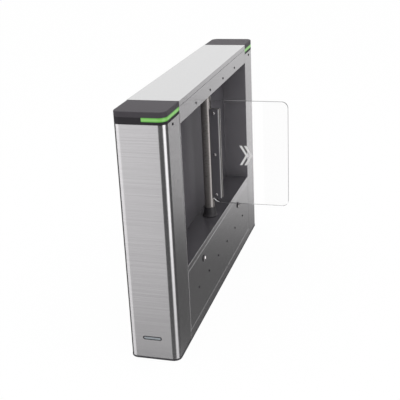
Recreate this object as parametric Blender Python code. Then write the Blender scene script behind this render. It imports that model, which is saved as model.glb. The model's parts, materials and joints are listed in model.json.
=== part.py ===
# Swing-barrier turnstile: one stainless pedestal with a clear wing on a vertical shaft.
# Units are metres and +Z is up. The origin is on the floor under the middle of the cabinet.
# The wing points along +X, over the passage. The entrance end of the cabinet is at -Y.

import math

import bmesh
import bpy
from mathutils import Matrix, Vector

# Cabinet
CABINET_LENGTH = 1.400
CABINET_WIDTH = 0.200
CABINET_HEIGHT = 0.980
COLUMN_LENGTH = 0.164
COLUMN_STEP = 0.001
CORNER_RADIUS = 0.030
SHEET = 0.002
BULKHEAD = 0.003
LIP = 0.015
FOLD_RADIUS = 0.003
FIT = 0.0003
OVERRUN = 0.006

# Rows of the cabinet, from the floor up
BASE_THICKNESS = 0.008
PLINTH_TOP = 0.044
DOOR_HEIGHT = 0.256
SILL_HEIGHT = 0.023
BAND_HEIGHT = 0.065
COVER_HEIGHT = 0.020
CAP_HEIGHT = 0.046

# Base plate: anchor holes and cable openings
ANCHOR_RADIUS = 0.007
ANCHOR_INSET = 0.038
ANCHOR_END = 0.190
CABLE_OPENING_WIDTH = 0.060
CABLE_OPENING_LENGTH = 0.110
CABLE_OPENING_RADIUS = 0.012
CABLE_OPENING_SHARE = 0.45
EDGING_THICKNESS = 0.003
EDGING_HEIGHT = 0.004

# Openings in the bulkheads for leads
LEAD_WINDOW_WIDTH = 0.060
LEAD_WINDOW_HEIGHT = 0.070
LEAD_WINDOW_LIFT = 0.060
LEAD_WINDOW_RADIUS = 0.010
LEAD_HOLE_RADIUS = 0.012

# Top rails under the cover
RAIL_DROP = 0.020
RAIL_LEG = 0.020

# End caps
CAP_WALL = 0.003
CAP_GAP = 0.0015
CAP_PLUG = 0.006
LID_HEIGHT = 0.0205
LID_EDGE = 0.004
LIGHT_HEIGHT = 0.015
LIGHT_START = 0.010
LIGHT_BOARD = 0.0012
LIGHT_BOARD_MARGIN = 0.0015

# Recess for the wing
RECESS_DEPTH = 0.111
PANEL = 0.005
SHELF_PLATE = 0.004

# Shaft, its collar and its bearings
SHAFT_INSET = 0.053
SHAFT_RADIUS = 0.022
SHAFT_RUNNING = 0.0006
SHAFT_HOLE = 0.0015
JOURNAL_RADIUS = 0.015
JOURNAL_TOP = 0.006
COLLAR_HEIGHT = 0.043
COLLAR_FOOT = 0.0335
COLLAR_FOOT_HEIGHT = 0.005
COLLAR_WALL = 0.0015
COLLAR_RIM = 0.003
COLLAR_FLARE = 0.008
HOUSING_FLANGE = 0.038
HOUSING_FLANGE_HEIGHT = 0.006
HOUSING_RADIUS = 0.029
HOUSING_LIP = 0.004
BEARING_RADIUS = 0.0245
BEARING_HEIGHT = 0.016
BEARING_RACE = 0.003
BEARING_GROOVE = 0.001
BRIDGE_WIDTH = 0.090
BRIDGE_WALL = 0.003

# Wing and its clamp
WING_LENGTH = 0.339
WING_START = 0.014
WING_LIFT = 0.065
WING_DROP = 0.047
WING_THICKNESS = 0.010
WING_CORNER = 0.027
CLAMP_THICKNESS = 0.008
CLAMP_START = 0.017
CLAMP_WIDTH = 0.038
CLAMP_LIFT = 0.023
CLAMP_DROP = 0.038
CLAMP_EDGE = 0.0012
STRIP_WIDTH = 0.005
STRIP_THICKNESS = 0.006
SCREW_COUNT = 3
SCREW_RADIUS = 0.003
SCREW_HEAD = 0.0065
SCREW_HEAD_HEIGHT = 0.003
SCREW_END = 0.016
SCREW_SOCKET = 0.002
SCREW_SOCKET_DEPTH = 0.0015
SCREW_CROWN_SHARES = ((0.5, 1.0), (0.8, 0.75), (1.0, 0.3))

# Gears below the shelf
GEAR_MODULE = 0.0025
GEAR_TEETH = 32
PINION_TEETH = 16
GEAR_BACKLASH = 0.0004
GEAR_FACE = 0.012
PINION_EXTRA = 0.002
PRESSURE_ANGLE = math.radians(20)
PINION_BEARING = math.radians(110)
DEDENDUM_SHARE = 1.25
FLANK_STEPS = 3
HUB_RADIUS = 0.0195
HUB_LENGTH = 0.032
HUB_SHOULDER = 0.013
GEAR_HOLES = 6
GEAR_HOLE_RADIUS = 0.005
DISC_RADIUS = 0.030
DISC_THICKNESS = 0.002
DISC_NOTCH = 0.005
DISC_NOTCHES = 4
NUT_RADIUS = 0.019
NUT_HEIGHT = 0.008
SHAFT_TAIL = 0.001

# Drive plate, gearmotor and position sensor
DRIVE_PLATE = 0.006
DRIVE_CLEARANCE = 0.0034
DRIVE_MARGIN = 0.052
DRIVE_REACH = 0.0315
POST_RADIUS = 0.006
POST_INSET = 0.010
OUTPUT_RADIUS = 0.006
OUTPUT_DEPTH = 0.014
OUTPUT_STICK_OUT = 0.002
PILOT_RADIUS = 0.013
PILOT_HEIGHT = 0.003
GEARBOX_RADIUS = 0.030
GEARBOX_LENGTH = 0.055
MOTOR_RADIUS = 0.027
MOTOR_LENGTH = 0.070
MOTOR_EDGE = 0.003
BRAKE_RADIUS = 0.024
BRAKE_LENGTH = 0.030
FORK_REACH = 0.007
FORK_BODY = 0.012
FORK_GAP = 0.0028
FORK_ARM = 0.003
FORK_WIDTH = 0.014

# Infrared eyes
EYE_DROP = 0.062
BAND_EYES = 4
BAND_EYE_PITCH_SHARE = 0.1984
DOOR_EYES = 6
DOOR_EYE_PITCH_SHARE = 0.1474
DOOR_EYE_HEIGHT = 0.167
EYE_NOSE = 0.0042
EYE_COLLAR = 0.0075
EYE_COLLAR_LENGTH = 0.003
EYE_BARREL = 0.0055
EYE_BARREL_LENGTH = 0.016
EYE_CLEARANCE = 0.0004
EYE_STRIP = 0.0015
EYE_STRIP_HEIGHT = 0.013
EYE_SETBACK = 0.0005
EYE_RAIL = 0.003
EYE_RAIL_HEIGHT = 0.030
EYE_RAIL_GAP = 0.002

# Access door and its locks
DOOR_DEPTH = 0.012
DOOR_GAP = 0.001
DOOR_CORNER = 0.005
FLANGE_REACH = 0.022
PEG_COUNT = 4
PEG_PITCH_SHARE = 0.28
PEG_RADIUS = 0.004
PEG_LENGTH = 0.020
PEG_CLEARANCE = 0.0004
PEG_SHARE = 0.5
LOCK_SHARE = 0.288
LOCK_DROP = 0.043
BEZEL_RADIUS = 0.0125
BEZEL_HEIGHT = 0.002
BEZEL_EDGE = 0.0006
BARREL_RADIUS = 0.0095
BARREL_LENGTH = 0.014
LOCK_NUT_RADIUS = 0.014
LOCK_NUT_HEIGHT = 0.004
PLUG_RADIUS = 0.007
PLUG_TAIL = 0.004
PLUG_TAIL_LENGTH = 0.003
PLUG_NUT_RADIUS = 0.006
PLUG_NUT_HEIGHT = 0.003
PLUG_REACH = 0.0035
KEYWAY_LENGTH = 0.008
KEYWAY_WIDTH = 0.0012
KEYWAY_DEPTH = 0.004
CAM_LENGTH = 0.036
CAM_WIDTH = 0.014

# Electrical equipment behind the door
EQUIPMENT_DEPTH = 0.008
EQUIPMENT_LIFT = 0.036
EQUIPMENT_DROP = 0.020
EQUIPMENT_END_SHARE = 0.94
EQUIPMENT_START_SHARE = 0.24
SUPPLY_DEPTH = 0.038
SUPPLY_LENGTH_SHARE = 0.43
SUPPLY_HEIGHT = 0.110
SUPPLY_SLOTS = 8
SUPPLY_SLOT_WIDTH = 0.004
SUPPLY_SLOT_DEPTH = 0.003
SUPPLY_SLOT_SHARE = 0.7
EQUIPMENT_MARGIN = 0.012
BOARD = 0.0016
BOARD_LENGTH_SHARE = 0.40
BOARD_HEIGHT = 0.160
SPACER_RADIUS = 0.004
SPACER_LENGTH = 0.006
SPACER_INSET = 0.008
RELAY_SIZE = 0.015
RELAY_HEIGHT = 0.016
RELAYS = 4
RELAY_SHARE = 0.3
CAPACITOR_SHARE = 0.25
CAPACITOR_RADIUS = 0.008
CAPACITOR_HEIGHT = 0.022
CONNECTOR_HEIGHT = 0.012
CONNECTOR_DEPTH = 0.010
TERMINALS = 10
TERMINAL_PITCH = 0.0085
TERMINAL_GAP = 0.0006
TERMINAL_HEIGHT = 0.045
TERMINAL_DEPTH = 0.036
TERMINAL_NECK = 0.010
RAIL_HAT = 0.035
RAIL_HAT_DEPTH = 0.0075
RAIL_HAT_WALL = 0.001
RAIL_HAT_BRIM = 0.005
TERMINAL_RAIL_SHARE = 0.645
SWITCH_LENGTH = 0.036
SWITCH_HEIGHT = 0.070
SWITCH_DEPTH = 0.050
SWITCH_STEP = 0.008
SWITCH_LEVER_SHARE = 0.5

# Fineness of round shapes
HEXAGON = 6
ROUND_SIDES = 24
SMALL_SIDES = 8
MEDIUM_SIDES = 16
SHAFT_SIDES = 32
CORNER_STEPS = 5
FOLD_STEPS = 3
SMOOTH_ANGLE = math.radians(40)
QUARTER_CIRCLE = 0.5

# Places that follow from the sizes
FRONT = -1
REAR = 1
HALF_LENGTH = CABINET_LENGTH / 2
HALF_WIDTH = CABINET_WIDTH / 2
MIDDLE_LENGTH = CABINET_LENGTH - 2 * COLUMN_LENGTH
HALF_MIDDLE = MIDDLE_LENGTH / 2
COLUMN_HALF_WIDTH = HALF_WIDTH - COLUMN_STEP
COLUMN_NEAR = HALF_MIDDLE + FIT
COLUMN_MIDDLE = (HALF_MIDDLE + HALF_LENGTH) / 2
BAY_END = HALF_MIDDLE - BULKHEAD - FIT
FRAME_END = BAY_END - SHEET - FIT
SIDE_FACE = HALF_WIDTH - SHEET
SIDE_SEAT = SIDE_FACE - FIT
FRAME_SIDE = SIDE_SEAT - FIT
BASE_TOP = BASE_THICKNESS + FIT
EDGING_TOP = BASE_THICKNESS + EDGING_HEIGHT
SILL_BOTTOM = PLINTH_TOP + DOOR_HEIGHT
SILL_TOP = SILL_BOTTOM + SILL_HEIGHT
BAND_TOP = CABINET_HEIGHT - COVER_HEIGHT
WINDOW_TOP = BAND_TOP - BAND_HEIGHT
COLUMN_TOP = CABINET_HEIGHT - CAP_HEIGHT
EYE_HEIGHT = CABINET_HEIGHT - EYE_DROP
RAIL_TOP = CABINET_HEIGHT - SHEET - FIT
RAIL_BOTTOM = BAND_TOP - RAIL_DROP
RECESS_BACK = HALF_WIDTH - RECESS_DEPTH
SHAFT_X = HALF_WIDTH - SHAFT_INSET
CEILING_BOTTOM = WINDOW_TOP + FIT + SHEET + FIT
CEILING_TOP = CEILING_BOTTOM + PANEL
SHELF_BOTTOM = SILL_TOP - PANEL
DRIVE_SHELF_TOP = SHELF_BOTTOM - FIT
DRIVE_SHELF_BOTTOM = DRIVE_SHELF_TOP - SHELF_PLATE
LOWER_SEAT = DRIVE_SHELF_BOTTOM - FIT
BRIDGE_BOTTOM = CEILING_TOP + FIT
UPPER_SEAT = BRIDGE_BOTTOM + BRIDGE_WALL + FIT
SEAT_DEPTH = HOUSING_FLANGE_HEIGHT + HOUSING_LIP
HOUSING_HEIGHT = SEAT_DEPTH + FIT + BEARING_HEIGHT + FIT
LOWER_SHOULDER = LOWER_SEAT - SEAT_DEPTH
UPPER_SHOULDER = UPPER_SEAT + SEAT_DEPTH
BORE_RADIUS = SHAFT_RADIUS + SHAFT_HOLE
WING_BOTTOM = SILL_TOP + WING_LIFT
WING_TOP = WINDOW_TOP - WING_DROP
WING_LEFT = SHAFT_X + WING_START
WING_RIGHT = WING_LEFT + WING_LENGTH
WING_FACE = WING_THICKNESS / 2
CLAMP_LEFT = SHAFT_X + CLAMP_START
CLAMP_RIGHT = CLAMP_LEFT + CLAMP_WIDTH
CLAMP_BOTTOM = WING_BOTTOM + CLAMP_LIFT
CLAMP_TOP = WING_TOP - CLAMP_DROP
CLAMP_BACK = WING_FACE + FIT
CLAMP_FRONT = CLAMP_BACK + CLAMP_THICKNESS
STRIP_RIGHT = CLAMP_RIGHT + FIT + STRIP_WIDTH
SCREW_X = (CLAMP_LEFT + CLAMP_RIGHT) / 2
HUB_TOP = LOWER_SHOULDER - FIT - BEARING_HEIGHT - FIT
HUB_BOTTOM = HUB_TOP - HUB_LENGTH
GEAR_TOP = HUB_TOP - HUB_SHOULDER
GEAR_BOTTOM = GEAR_TOP - GEAR_FACE
DISC_TOP = HUB_BOTTOM - FIT
DISC_BOTTOM = DISC_TOP - DISC_THICKNESS
NUT_TOP = DISC_BOTTOM - FIT
NUT_BOTTOM = NUT_TOP - NUT_HEIGHT
SHAFT_END = NUT_BOTTOM - SHAFT_TAIL
DRIVE_TOP = SHAFT_END - DRIVE_CLEARANCE
DRIVE_BOTTOM = DRIVE_TOP - DRIVE_PLATE
GEAR_RADIUS = GEAR_MODULE * GEAR_TEETH / 2
PINION_RADIUS = GEAR_MODULE * PINION_TEETH / 2
CENTRES = GEAR_RADIUS + PINION_RADIUS
PINION_X = SHAFT_X + CENTRES * math.cos(PINION_BEARING)
PINION_Y = CENTRES * math.sin(PINION_BEARING)
MOTOR_TOP = DRIVE_BOTTOM - FIT
DOOR_RIM = HALF_WIDTH - DOOR_DEPTH
EYE_RAIL_FRONT = DOOR_RIM - EYE_RAIL_GAP
FLANGE_X = SIDE_FACE - LIP
DOOR_END = HALF_MIDDLE - BULKHEAD - DOOR_GAP
LOCK_HEIGHT = SILL_BOTTOM - LOCK_DROP
LOCK_FLOOR = SIDE_FACE - BARREL_LENGTH
PLUG_BACK = LOCK_FLOOR - PLUG_REACH
EQUIPMENT_FACE = -SIDE_SEAT + EQUIPMENT_DEPTH
EQUIPMENT_SEAT = EQUIPMENT_FACE + FIT
EQUIPMENT_BOTTOM = PLINTH_TOP + EQUIPMENT_LIFT
EQUIPMENT_TOP = SILL_BOTTOM - EQUIPMENT_DROP
EQUIPMENT_END = BAY_END * EQUIPMENT_END_SHARE
EQUIPMENT_START = BAY_END * EQUIPMENT_START_SHARE
EQUIPMENT_ROOM = EQUIPMENT_END - EQUIPMENT_START
SUPPLY_LENGTH = EQUIPMENT_ROOM * SUPPLY_LENGTH_SHARE
BOARD_LENGTH = EQUIPMENT_ROOM * BOARD_LENGTH_SHARE
TERMINAL_RAIL_LENGTH = EQUIPMENT_ROOM * TERMINAL_RAIL_SHARE
BAND_EYE_PITCH = MIDDLE_LENGTH * BAND_EYE_PITCH_SHARE
DOOR_EYE_PITCH = MIDDLE_LENGTH * DOOR_EYE_PITCH_SHARE
PEG_PITCH = MIDDLE_LENGTH * PEG_PITCH_SHARE
LOCK_OFFSET = MIDDLE_LENGTH * LOCK_SHARE


def along(axis, u, v, w):
    """Point from two cross coordinates and one along the axis."""
    if axis == "X":
        return Vector((w, u, v))
    if axis == "Y":
        return Vector((u, w, v))
    return Vector((u, v, w))


def loft(rings, closed=False):
    """Skin over rings of points: flat ends, or a closed ring of rings."""
    mesh = bmesh.new()
    rows = [[mesh.verts.new(point) for point in ring] for ring in rings]
    pairs = list(zip(rows, rows[1:]))
    if closed:
        pairs.append((rows[-1], rows[0]))
    else:
        mesh.faces.new(rows[0])
        mesh.faces.new(rows[-1])
    for near, far in pairs:
        for i in range(len(near)):
            j = (i + 1) % len(near)
            mesh.faces.new((near[i], near[j], far[j], far[i]))
    bmesh.ops.recalc_face_normals(mesh, faces=mesh.faces)
    return mesh


def prism(outline, low, high, axis="Z"):
    """Straight bar with the given outline."""
    return loft([[along(axis, u, v, w) for u, v in outline] for w in (low, high)])


def frame(outer, inner, low, high, axis="Z"):
    """Straight tube between two outlines with as many points each."""
    levels = ((outer, low), (outer, high), (inner, high), (inner, low))
    rings = [[along(axis, u, v, w) for u, v in outline] for outline, w in levels]
    return loft(rings, closed=True)


def cup(outer, inner, bottom, floor, rim, axis="Z"):
    """Tray: closed at the bottom, with its wall up to the rim."""
    levels = ((outer, bottom), (outer, rim), (inner, rim), (inner, floor))
    return loft([[along(axis, u, v, w) for u, v in outline] for outline, w in levels])


def turned(profile, centre, axis="Z", ring=False, sides=ROUND_SIDES):
    """Round piece from (radius, height) pairs, with a bore when it is a ring."""
    angles = [2 * math.pi * i / sides for i in range(sides)]
    rings = []
    for radius, height in profile:
        circle = [along(axis, radius * math.cos(a), radius * math.sin(a), height) for a in angles]
        rings.append([point + centre for point in circle])
    return loft(rings, closed=ring)


def box(x_span, y_span, z_span):
    return prism(rectangle(x_span, y_span), z_span[0], z_span[1])


def rectangle(u_span, v_span):
    (left, right), (low, high) = u_span, v_span
    return [(left, low), (right, low), (right, high), (left, high)]


def arc(u, v, radius, start, stop, steps=CORNER_STEPS):
    """Points on an arc, with angles in degrees."""
    angles = [math.radians(start + (stop - start) * i / steps) for i in range(steps + 1)]
    return [(u + radius * math.cos(a), v + radius * math.sin(a)) for a in angles]


def rounded(u_span, v_span, radius, steps=CORNER_STEPS):
    """Rectangle with round corners."""
    (left, right), (low, high) = u_span, v_span
    points = arc(right - radius, high - radius, radius, 0, 90, steps)
    points += arc(left + radius, high - radius, radius, 90, 180, steps)
    points += arc(left + radius, low + radius, radius, 180, 270, steps)
    points += arc(right - radius, low + radius, radius, 270, 360, steps)
    return points


def around(middle, size):
    return (middle - size / 2, middle + size / 2)


def polygon(u, v, radius, sides, turn=0.0):
    angles = [turn + 2 * math.pi * i / sides for i in range(sides)]
    return [(u + radius * math.cos(a), v + radius * math.sin(a)) for a in angles]


def channel(face, inward, low, high, lip):
    """Section of a folded sheet: a web at the face with a lip at each end."""
    back = face + inward * SHEET
    tip = face + inward * lip
    outside = [(tip, low), (face, low), (face, high), (tip, high)]
    inside = [(tip, high - SHEET), (back, high - SHEET), (back, low + SHEET), (tip, low + SHEET)]
    return outside + inside


def angle_section(u, v, leg_u, leg_v):
    """L section with its outer corner at (u, v) and two signed legs."""
    wall_u = math.copysign(SHEET, leg_u)
    wall_v = math.copysign(SHEET, leg_v)
    long_leg = [(u, v), (u + leg_u, v), (u + leg_u, v + wall_v)]
    return long_leg + [(u + wall_u, v + wall_v), (u + wall_u, v + leg_v), (u, v + leg_v)]


def end_path(inset, near, side):
    """Path round one end: up the passage side, across the end face, back on the other side."""
    half = COLUMN_HALF_WIDTH - inset
    far = HALF_LENGTH - inset
    radius = CORNER_RADIUS - inset
    points = [(half, near)] + arc(half - radius, far - radius, radius, 0, 90)
    points += arc(radius - half, far - radius, radius, 90, 180) + [(-half, near)]
    return [(x, side * y) for x, y in points]


def light_path(inset, start, near, side):
    """Path of the light: from the joint round the passage-side corner to the end face."""
    half = COLUMN_HALF_WIDTH - inset
    far = HALF_LENGTH - inset
    radius = CORNER_RADIUS - inset
    points = [(half, near)] + arc(half - radius, far - radius, radius, 0, 90) + [(start, far)]
    return [(x, side * y) for x, y in points]


def together(meshes):
    """Several separate bodies in one mesh."""
    whole = bmesh.new()
    for mesh in meshes:
        piece = bpy.data.meshes.new("piece")
        mesh.to_mesh(piece)
        mesh.free()
        whole.from_mesh(piece)
        bpy.data.meshes.remove(piece)
    return whole


def soften(mesh, axis, level, radius, steps=FOLD_STEPS):
    """Round the edges that lie at one place along an axis: one step makes a chamfer."""
    edges = []
    for edge in mesh.edges:
        if all(abs(vertex.co["XYZ".index(axis)] - level) < FIT for vertex in edge.verts):
            edges.append(edge)
    bmesh.ops.bevel(mesh, geom=edges, offset=radius, segments=steps, affect="EDGES",
                    profile=QUARTER_CIRCLE)
    return mesh


def finish(name, colour, roughness, metallic=0.0, alpha=1.0):
    """Material with the piece's own colour, written as sRGB hex."""
    parts = [int(colour[i:i + 2], 16) / 255 for i in (0, 2, 4)]
    linear = [((c + 0.055) / 1.055) ** 2.4 if c > 0.04045 else c / 12.92 for c in parts]
    material = bpy.data.materials.new(name)
    material.use_nodes = True
    shader = material.node_tree.nodes["Principled BSDF"]
    shader.inputs["Base Color"].default_value = (*linear, 1.0)
    shader.inputs["Roughness"].default_value = roughness
    shader.inputs["Metallic"].default_value = metallic
    shader.inputs["Alpha"].default_value = alpha
    return material


def pivot(name, x, y, z):
    """Empty on a joint's axis, which carries the pieces that move with it."""
    empty = bpy.data.objects.new(name, None)
    empty.location = (x, y, z)
    bpy.context.scene.collection.objects.link(empty)
    return empty


def link_mesh(name, mesh, carrier):
    """Object for a mesh drawn in world coordinates, carried by an empty if it moves."""
    if carrier:
        mesh.transform(Matrix.Translation(-carrier.location))
    data = bpy.data.meshes.new(name)
    mesh.to_mesh(data)
    mesh.free()
    item = bpy.data.objects.new(name, data)
    item.parent = carrier
    bpy.context.scene.collection.objects.link(item)
    return item


def part(name, mesh, look, carrier=None, smooth=False):
    """One named sub-part. Its material is its own, from (colour, roughness, metallic, alpha)."""
    item = link_mesh(name, mesh, carrier)
    item.data.materials.append(finish(name + "_finish", *look))
    if smooth:
        item.data.shade_smooth()
        item.data.set_sharp_from_angle(angle=SMOOTH_ANGLE)
    return item


def change(item, mesh, operation):
    """Cut a shape out of a part, or weld it on."""
    tool = link_mesh(item.name + "_" + operation.lower(), mesh, item.parent)
    tool.hide_render = True
    tool.display_type = "WIRE"
    step = item.modifiers.new(operation.lower(), "BOOLEAN")
    step.operation = operation
    step.solver = "EXACT"
    step.object = tool


def cut(item, *meshes):
    change(item, together(meshes), "DIFFERENCE")


def weld(item, *meshes):
    change(item, together(meshes), "UNION")


def rod(u, v, radius, low, high, axis="Z", sides=MEDIUM_SIDES):
    """Plain round bar, mostly for holes."""
    return prism(polygon(u, v, radius, sides), low, high, axis)


# Looks: colour, roughness, metallic, alpha
STAINLESS = ("b4b4b6", 0.35, 1.0)
POLISHED = ("d0d0d2", 0.12, 1.0)
ZINC = ("a9acae", 0.45, 1.0)
BLACK_STEEL = ("3a3a3c", 0.5, 0.6)
DARK_ACRYLIC = ("3c3a3e", 0.08)
CLEAR_ACRYLIC = ("eef2f2", 0.04, 0.0, 0.3)
MOULDED_GREY = ("5a585b", 0.45)
BLACK_RUBBER = ("2c2a2d", 0.7)
GREEN_LIGHT = ("8cc86a", 0.4)
CIRCUIT_GREEN = ("2f6a45", 0.5)
GEAR_STEEL = ("8d9092", 0.3, 1.0)
CLAMP_GREY = ("5b5a5e", 0.4, 0.5)
ALUMINIUM = ("c9cbcd", 0.3, 1.0)
SENSOR_BLACK = ("1d1c1f", 0.25)
RELAY_GREY = ("8a8f94", 0.5)


def build_base():
    """Floor plate with four anchor holes and two cable openings with raised edging."""
    outline = rounded((-HALF_WIDTH, HALF_WIDTH), (-HALF_LENGTH, HALF_LENGTH), CORNER_RADIUS)
    plate = part("base_plate", prism(outline, 0, BASE_THICKNESS), BLACK_STEEL)
    tools = []
    edgings = []
    grown = 2 * EDGING_THICKNESS
    for side in (FRONT, REAR):
        y = side * (HALF_MIDDLE - ANCHOR_END)
        for x in (ANCHOR_INSET - HALF_WIDTH, HALF_WIDTH - ANCHOR_INSET):
            tools.append(rod(x, y, ANCHOR_RADIUS, -OVERRUN, BASE_THICKNESS + OVERRUN))
        y = side * HALF_MIDDLE * CABLE_OPENING_SHARE
        opening = rounded(around(0, CABLE_OPENING_WIDTH), around(y, CABLE_OPENING_LENGTH),
                          CABLE_OPENING_RADIUS, FOLD_STEPS)
        tools.append(prism(opening, -OVERRUN, EDGING_TOP + OVERRUN))
        outer = rounded(around(0, CABLE_OPENING_WIDTH + grown), around(y, CABLE_OPENING_LENGTH + grown),
                        CABLE_OPENING_RADIUS + EDGING_THICKNESS, FOLD_STEPS)
        edgings.append(prism(outer, BASE_THICKNESS / 2, EDGING_TOP))
    weld(plate, *edgings)
    cut(plate, *tools)


def build_column(name, side):
    """End column: one folded sheet round the end, with lips against the bulkhead."""
    outer = end_path(0, COLUMN_NEAR, side)
    inner = end_path(SHEET, COLUMN_NEAR + SHEET, side)
    tip = COLUMN_HALF_WIDTH - LIP
    face = side * COLUMN_NEAR
    back = side * (COLUMN_NEAR + SHEET)
    outline = outer + [(-tip, face), (-tip, back)] + inner[::-1] + [(tip, back), (tip, face)]
    column = part(name, prism(outline, BASE_TOP, COLUMN_TOP), STAINLESS, smooth=True)
    hole = EYE_NOSE + EYE_CLEARANCE
    cut(column, rod(side * COLUMN_MIDDLE, EYE_HEIGHT, hole, COLUMN_HALF_WIDTH - LIP,
                    COLUMN_HALF_WIDTH + OVERRUN, "X", SMALL_SIDES))


def build_bulkhead(name, side):
    """Upright plate between a column and the middle section, with openings for leads."""
    neck = FRAME_SIDE
    upright = [(-HALF_WIDTH, BASE_TOP), (HALF_WIDTH, BASE_TOP), (HALF_WIDTH, BAND_TOP - FIT)]
    upright += [(neck, BAND_TOP - FIT), (neck, RAIL_TOP), (-neck, RAIL_TOP)]
    upright += [(-neck, BAND_TOP - FIT), (-HALF_WIDTH, BAND_TOP - FIT)]
    faces = sorted((side * (HALF_MIDDLE - BULKHEAD), side * HALF_MIDDLE))
    plate = part(name, prism(upright, faces[0], faces[1], "Y"), STAINLESS)
    low = BASE_TOP + LEAD_WINDOW_LIFT
    window = rounded((-LEAD_WINDOW_WIDTH, 0), (low, low + LEAD_WINDOW_HEIGHT), LEAD_WINDOW_RADIUS,
                     FOLD_STEPS)
    reach = (faces[0] - OVERRUN, faces[1] + OVERRUN)
    hole_x = (RECESS_BACK - PANEL - HALF_WIDTH) / 2
    hole = rod(hole_x, EYE_HEIGHT, LEAD_HOLE_RADIUS, reach[0], reach[1], "Y")
    cut(plate, prism(window, reach[0], reach[1], "Y"), hole)


def keeper_section(edge, far, tip):
    """Section of the rails above and below the door: strip, lip, and a flange behind the door."""
    wall = math.copysign(SHEET, far - edge)
    outside = [(HALF_WIDTH, edge), (HALF_WIDTH, far), (SIDE_FACE, far), (SIDE_FACE, edge + wall)]
    flange = [(FLANGE_X, edge + wall), (FLANGE_X, tip), (FLANGE_X + SHEET, tip)]
    return outside + flange + [(FLANGE_X + SHEET, edge)]


def peg_places():
    start = -PEG_PITCH * (PEG_COUNT - 1) / 2
    height = PLINTH_TOP + FLANGE_REACH * PEG_SHARE
    return [(start + i * PEG_PITCH, height) for i in range(PEG_COUNT)]


def build_side_sheets():
    """Plain left side, and on the passage side the band, the sill rail and the plinth rail."""
    left = channel(-HALF_WIDTH, 1, -BAY_END, BAY_END, LIP)
    part("left_side_panel", prism(left, BASE_TOP, BAND_TOP - FIT), STAINLESS)

    corner = WINDOW_TOP + FIT
    band_section = angle_section(HALF_WIDTH, corner, -LIP, BAND_TOP - FIT - corner)
    band = part("top_band", prism(band_section, -BAY_END, BAY_END, "Y"), STAINLESS)
    hole = EYE_NOSE + EYE_CLEARANCE
    cut(band, *[rod(y, EYE_HEIGHT, hole, SIDE_FACE - OVERRUN, HALF_WIDTH + OVERRUN, "X", SMALL_SIDES)
                for y in spread(BAND_EYES, BAND_EYE_PITCH)])

    sill = keeper_section(SILL_BOTTOM + FIT, SILL_TOP - FIT, SILL_BOTTOM - FLANGE_REACH)
    part("sill_rail", prism(sill, -BAY_END, BAY_END, "Y"), STAINLESS)

    plinth = keeper_section(PLINTH_TOP - FIT, BASE_TOP, PLINTH_TOP + FLANGE_REACH)
    rail = part("plinth_rail", prism(plinth, -BAY_END, BAY_END, "Y"), STAINLESS)
    cut(rail, *[rod(y, z, PEG_RADIUS + PEG_CLEARANCE, FLANGE_X - OVERRUN, FLANGE_X + SHEET + OVERRUN,
                    "X", SMALL_SIDES) for y, z in peg_places()])


def spread(count, pitch):
    """Places in a row, centred on the middle of the cabinet."""
    return [(i - (count - 1) / 2) * pitch for i in range(count)]


def build_top():
    """Cover folded down at both sides, on two angle rails between the bulkheads."""
    outer = [(HALF_WIDTH, BAND_TOP)]
    outer += arc(HALF_WIDTH - FOLD_RADIUS, CABINET_HEIGHT - FOLD_RADIUS, FOLD_RADIUS, 0, 90, FOLD_STEPS)
    outer += arc(FOLD_RADIUS - HALF_WIDTH, CABINET_HEIGHT - FOLD_RADIUS, FOLD_RADIUS, 90, 180,
                 FOLD_STEPS)
    outer += [(-HALF_WIDTH, BAND_TOP)]
    bend = FOLD_RADIUS - SHEET
    inner = [(-SIDE_FACE, BAND_TOP)]
    inner += arc(bend - SIDE_FACE, CABINET_HEIGHT - FOLD_RADIUS, bend, 180, 90, FOLD_STEPS)
    inner += arc(SIDE_FACE - bend, CABINET_HEIGHT - FOLD_RADIUS, bend, 90, 0, FOLD_STEPS)
    inner += [(SIDE_FACE, BAND_TOP)]
    cover = prism(outer + inner, -HALF_MIDDLE, HALF_MIDDLE, "Y")
    part("top_cover", cover, STAINLESS, smooth=True)
    for name, direction in (("left_top_rail", -1), ("right_top_rail", 1)):
        corner = direction * FRAME_SIDE
        section = angle_section(corner, RAIL_TOP, -direction * RAIL_LEG, RAIL_BOTTOM - RAIL_TOP)
        part(name, prism(section, -FRAME_END, FRAME_END, "Y"), ZINC)


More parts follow.
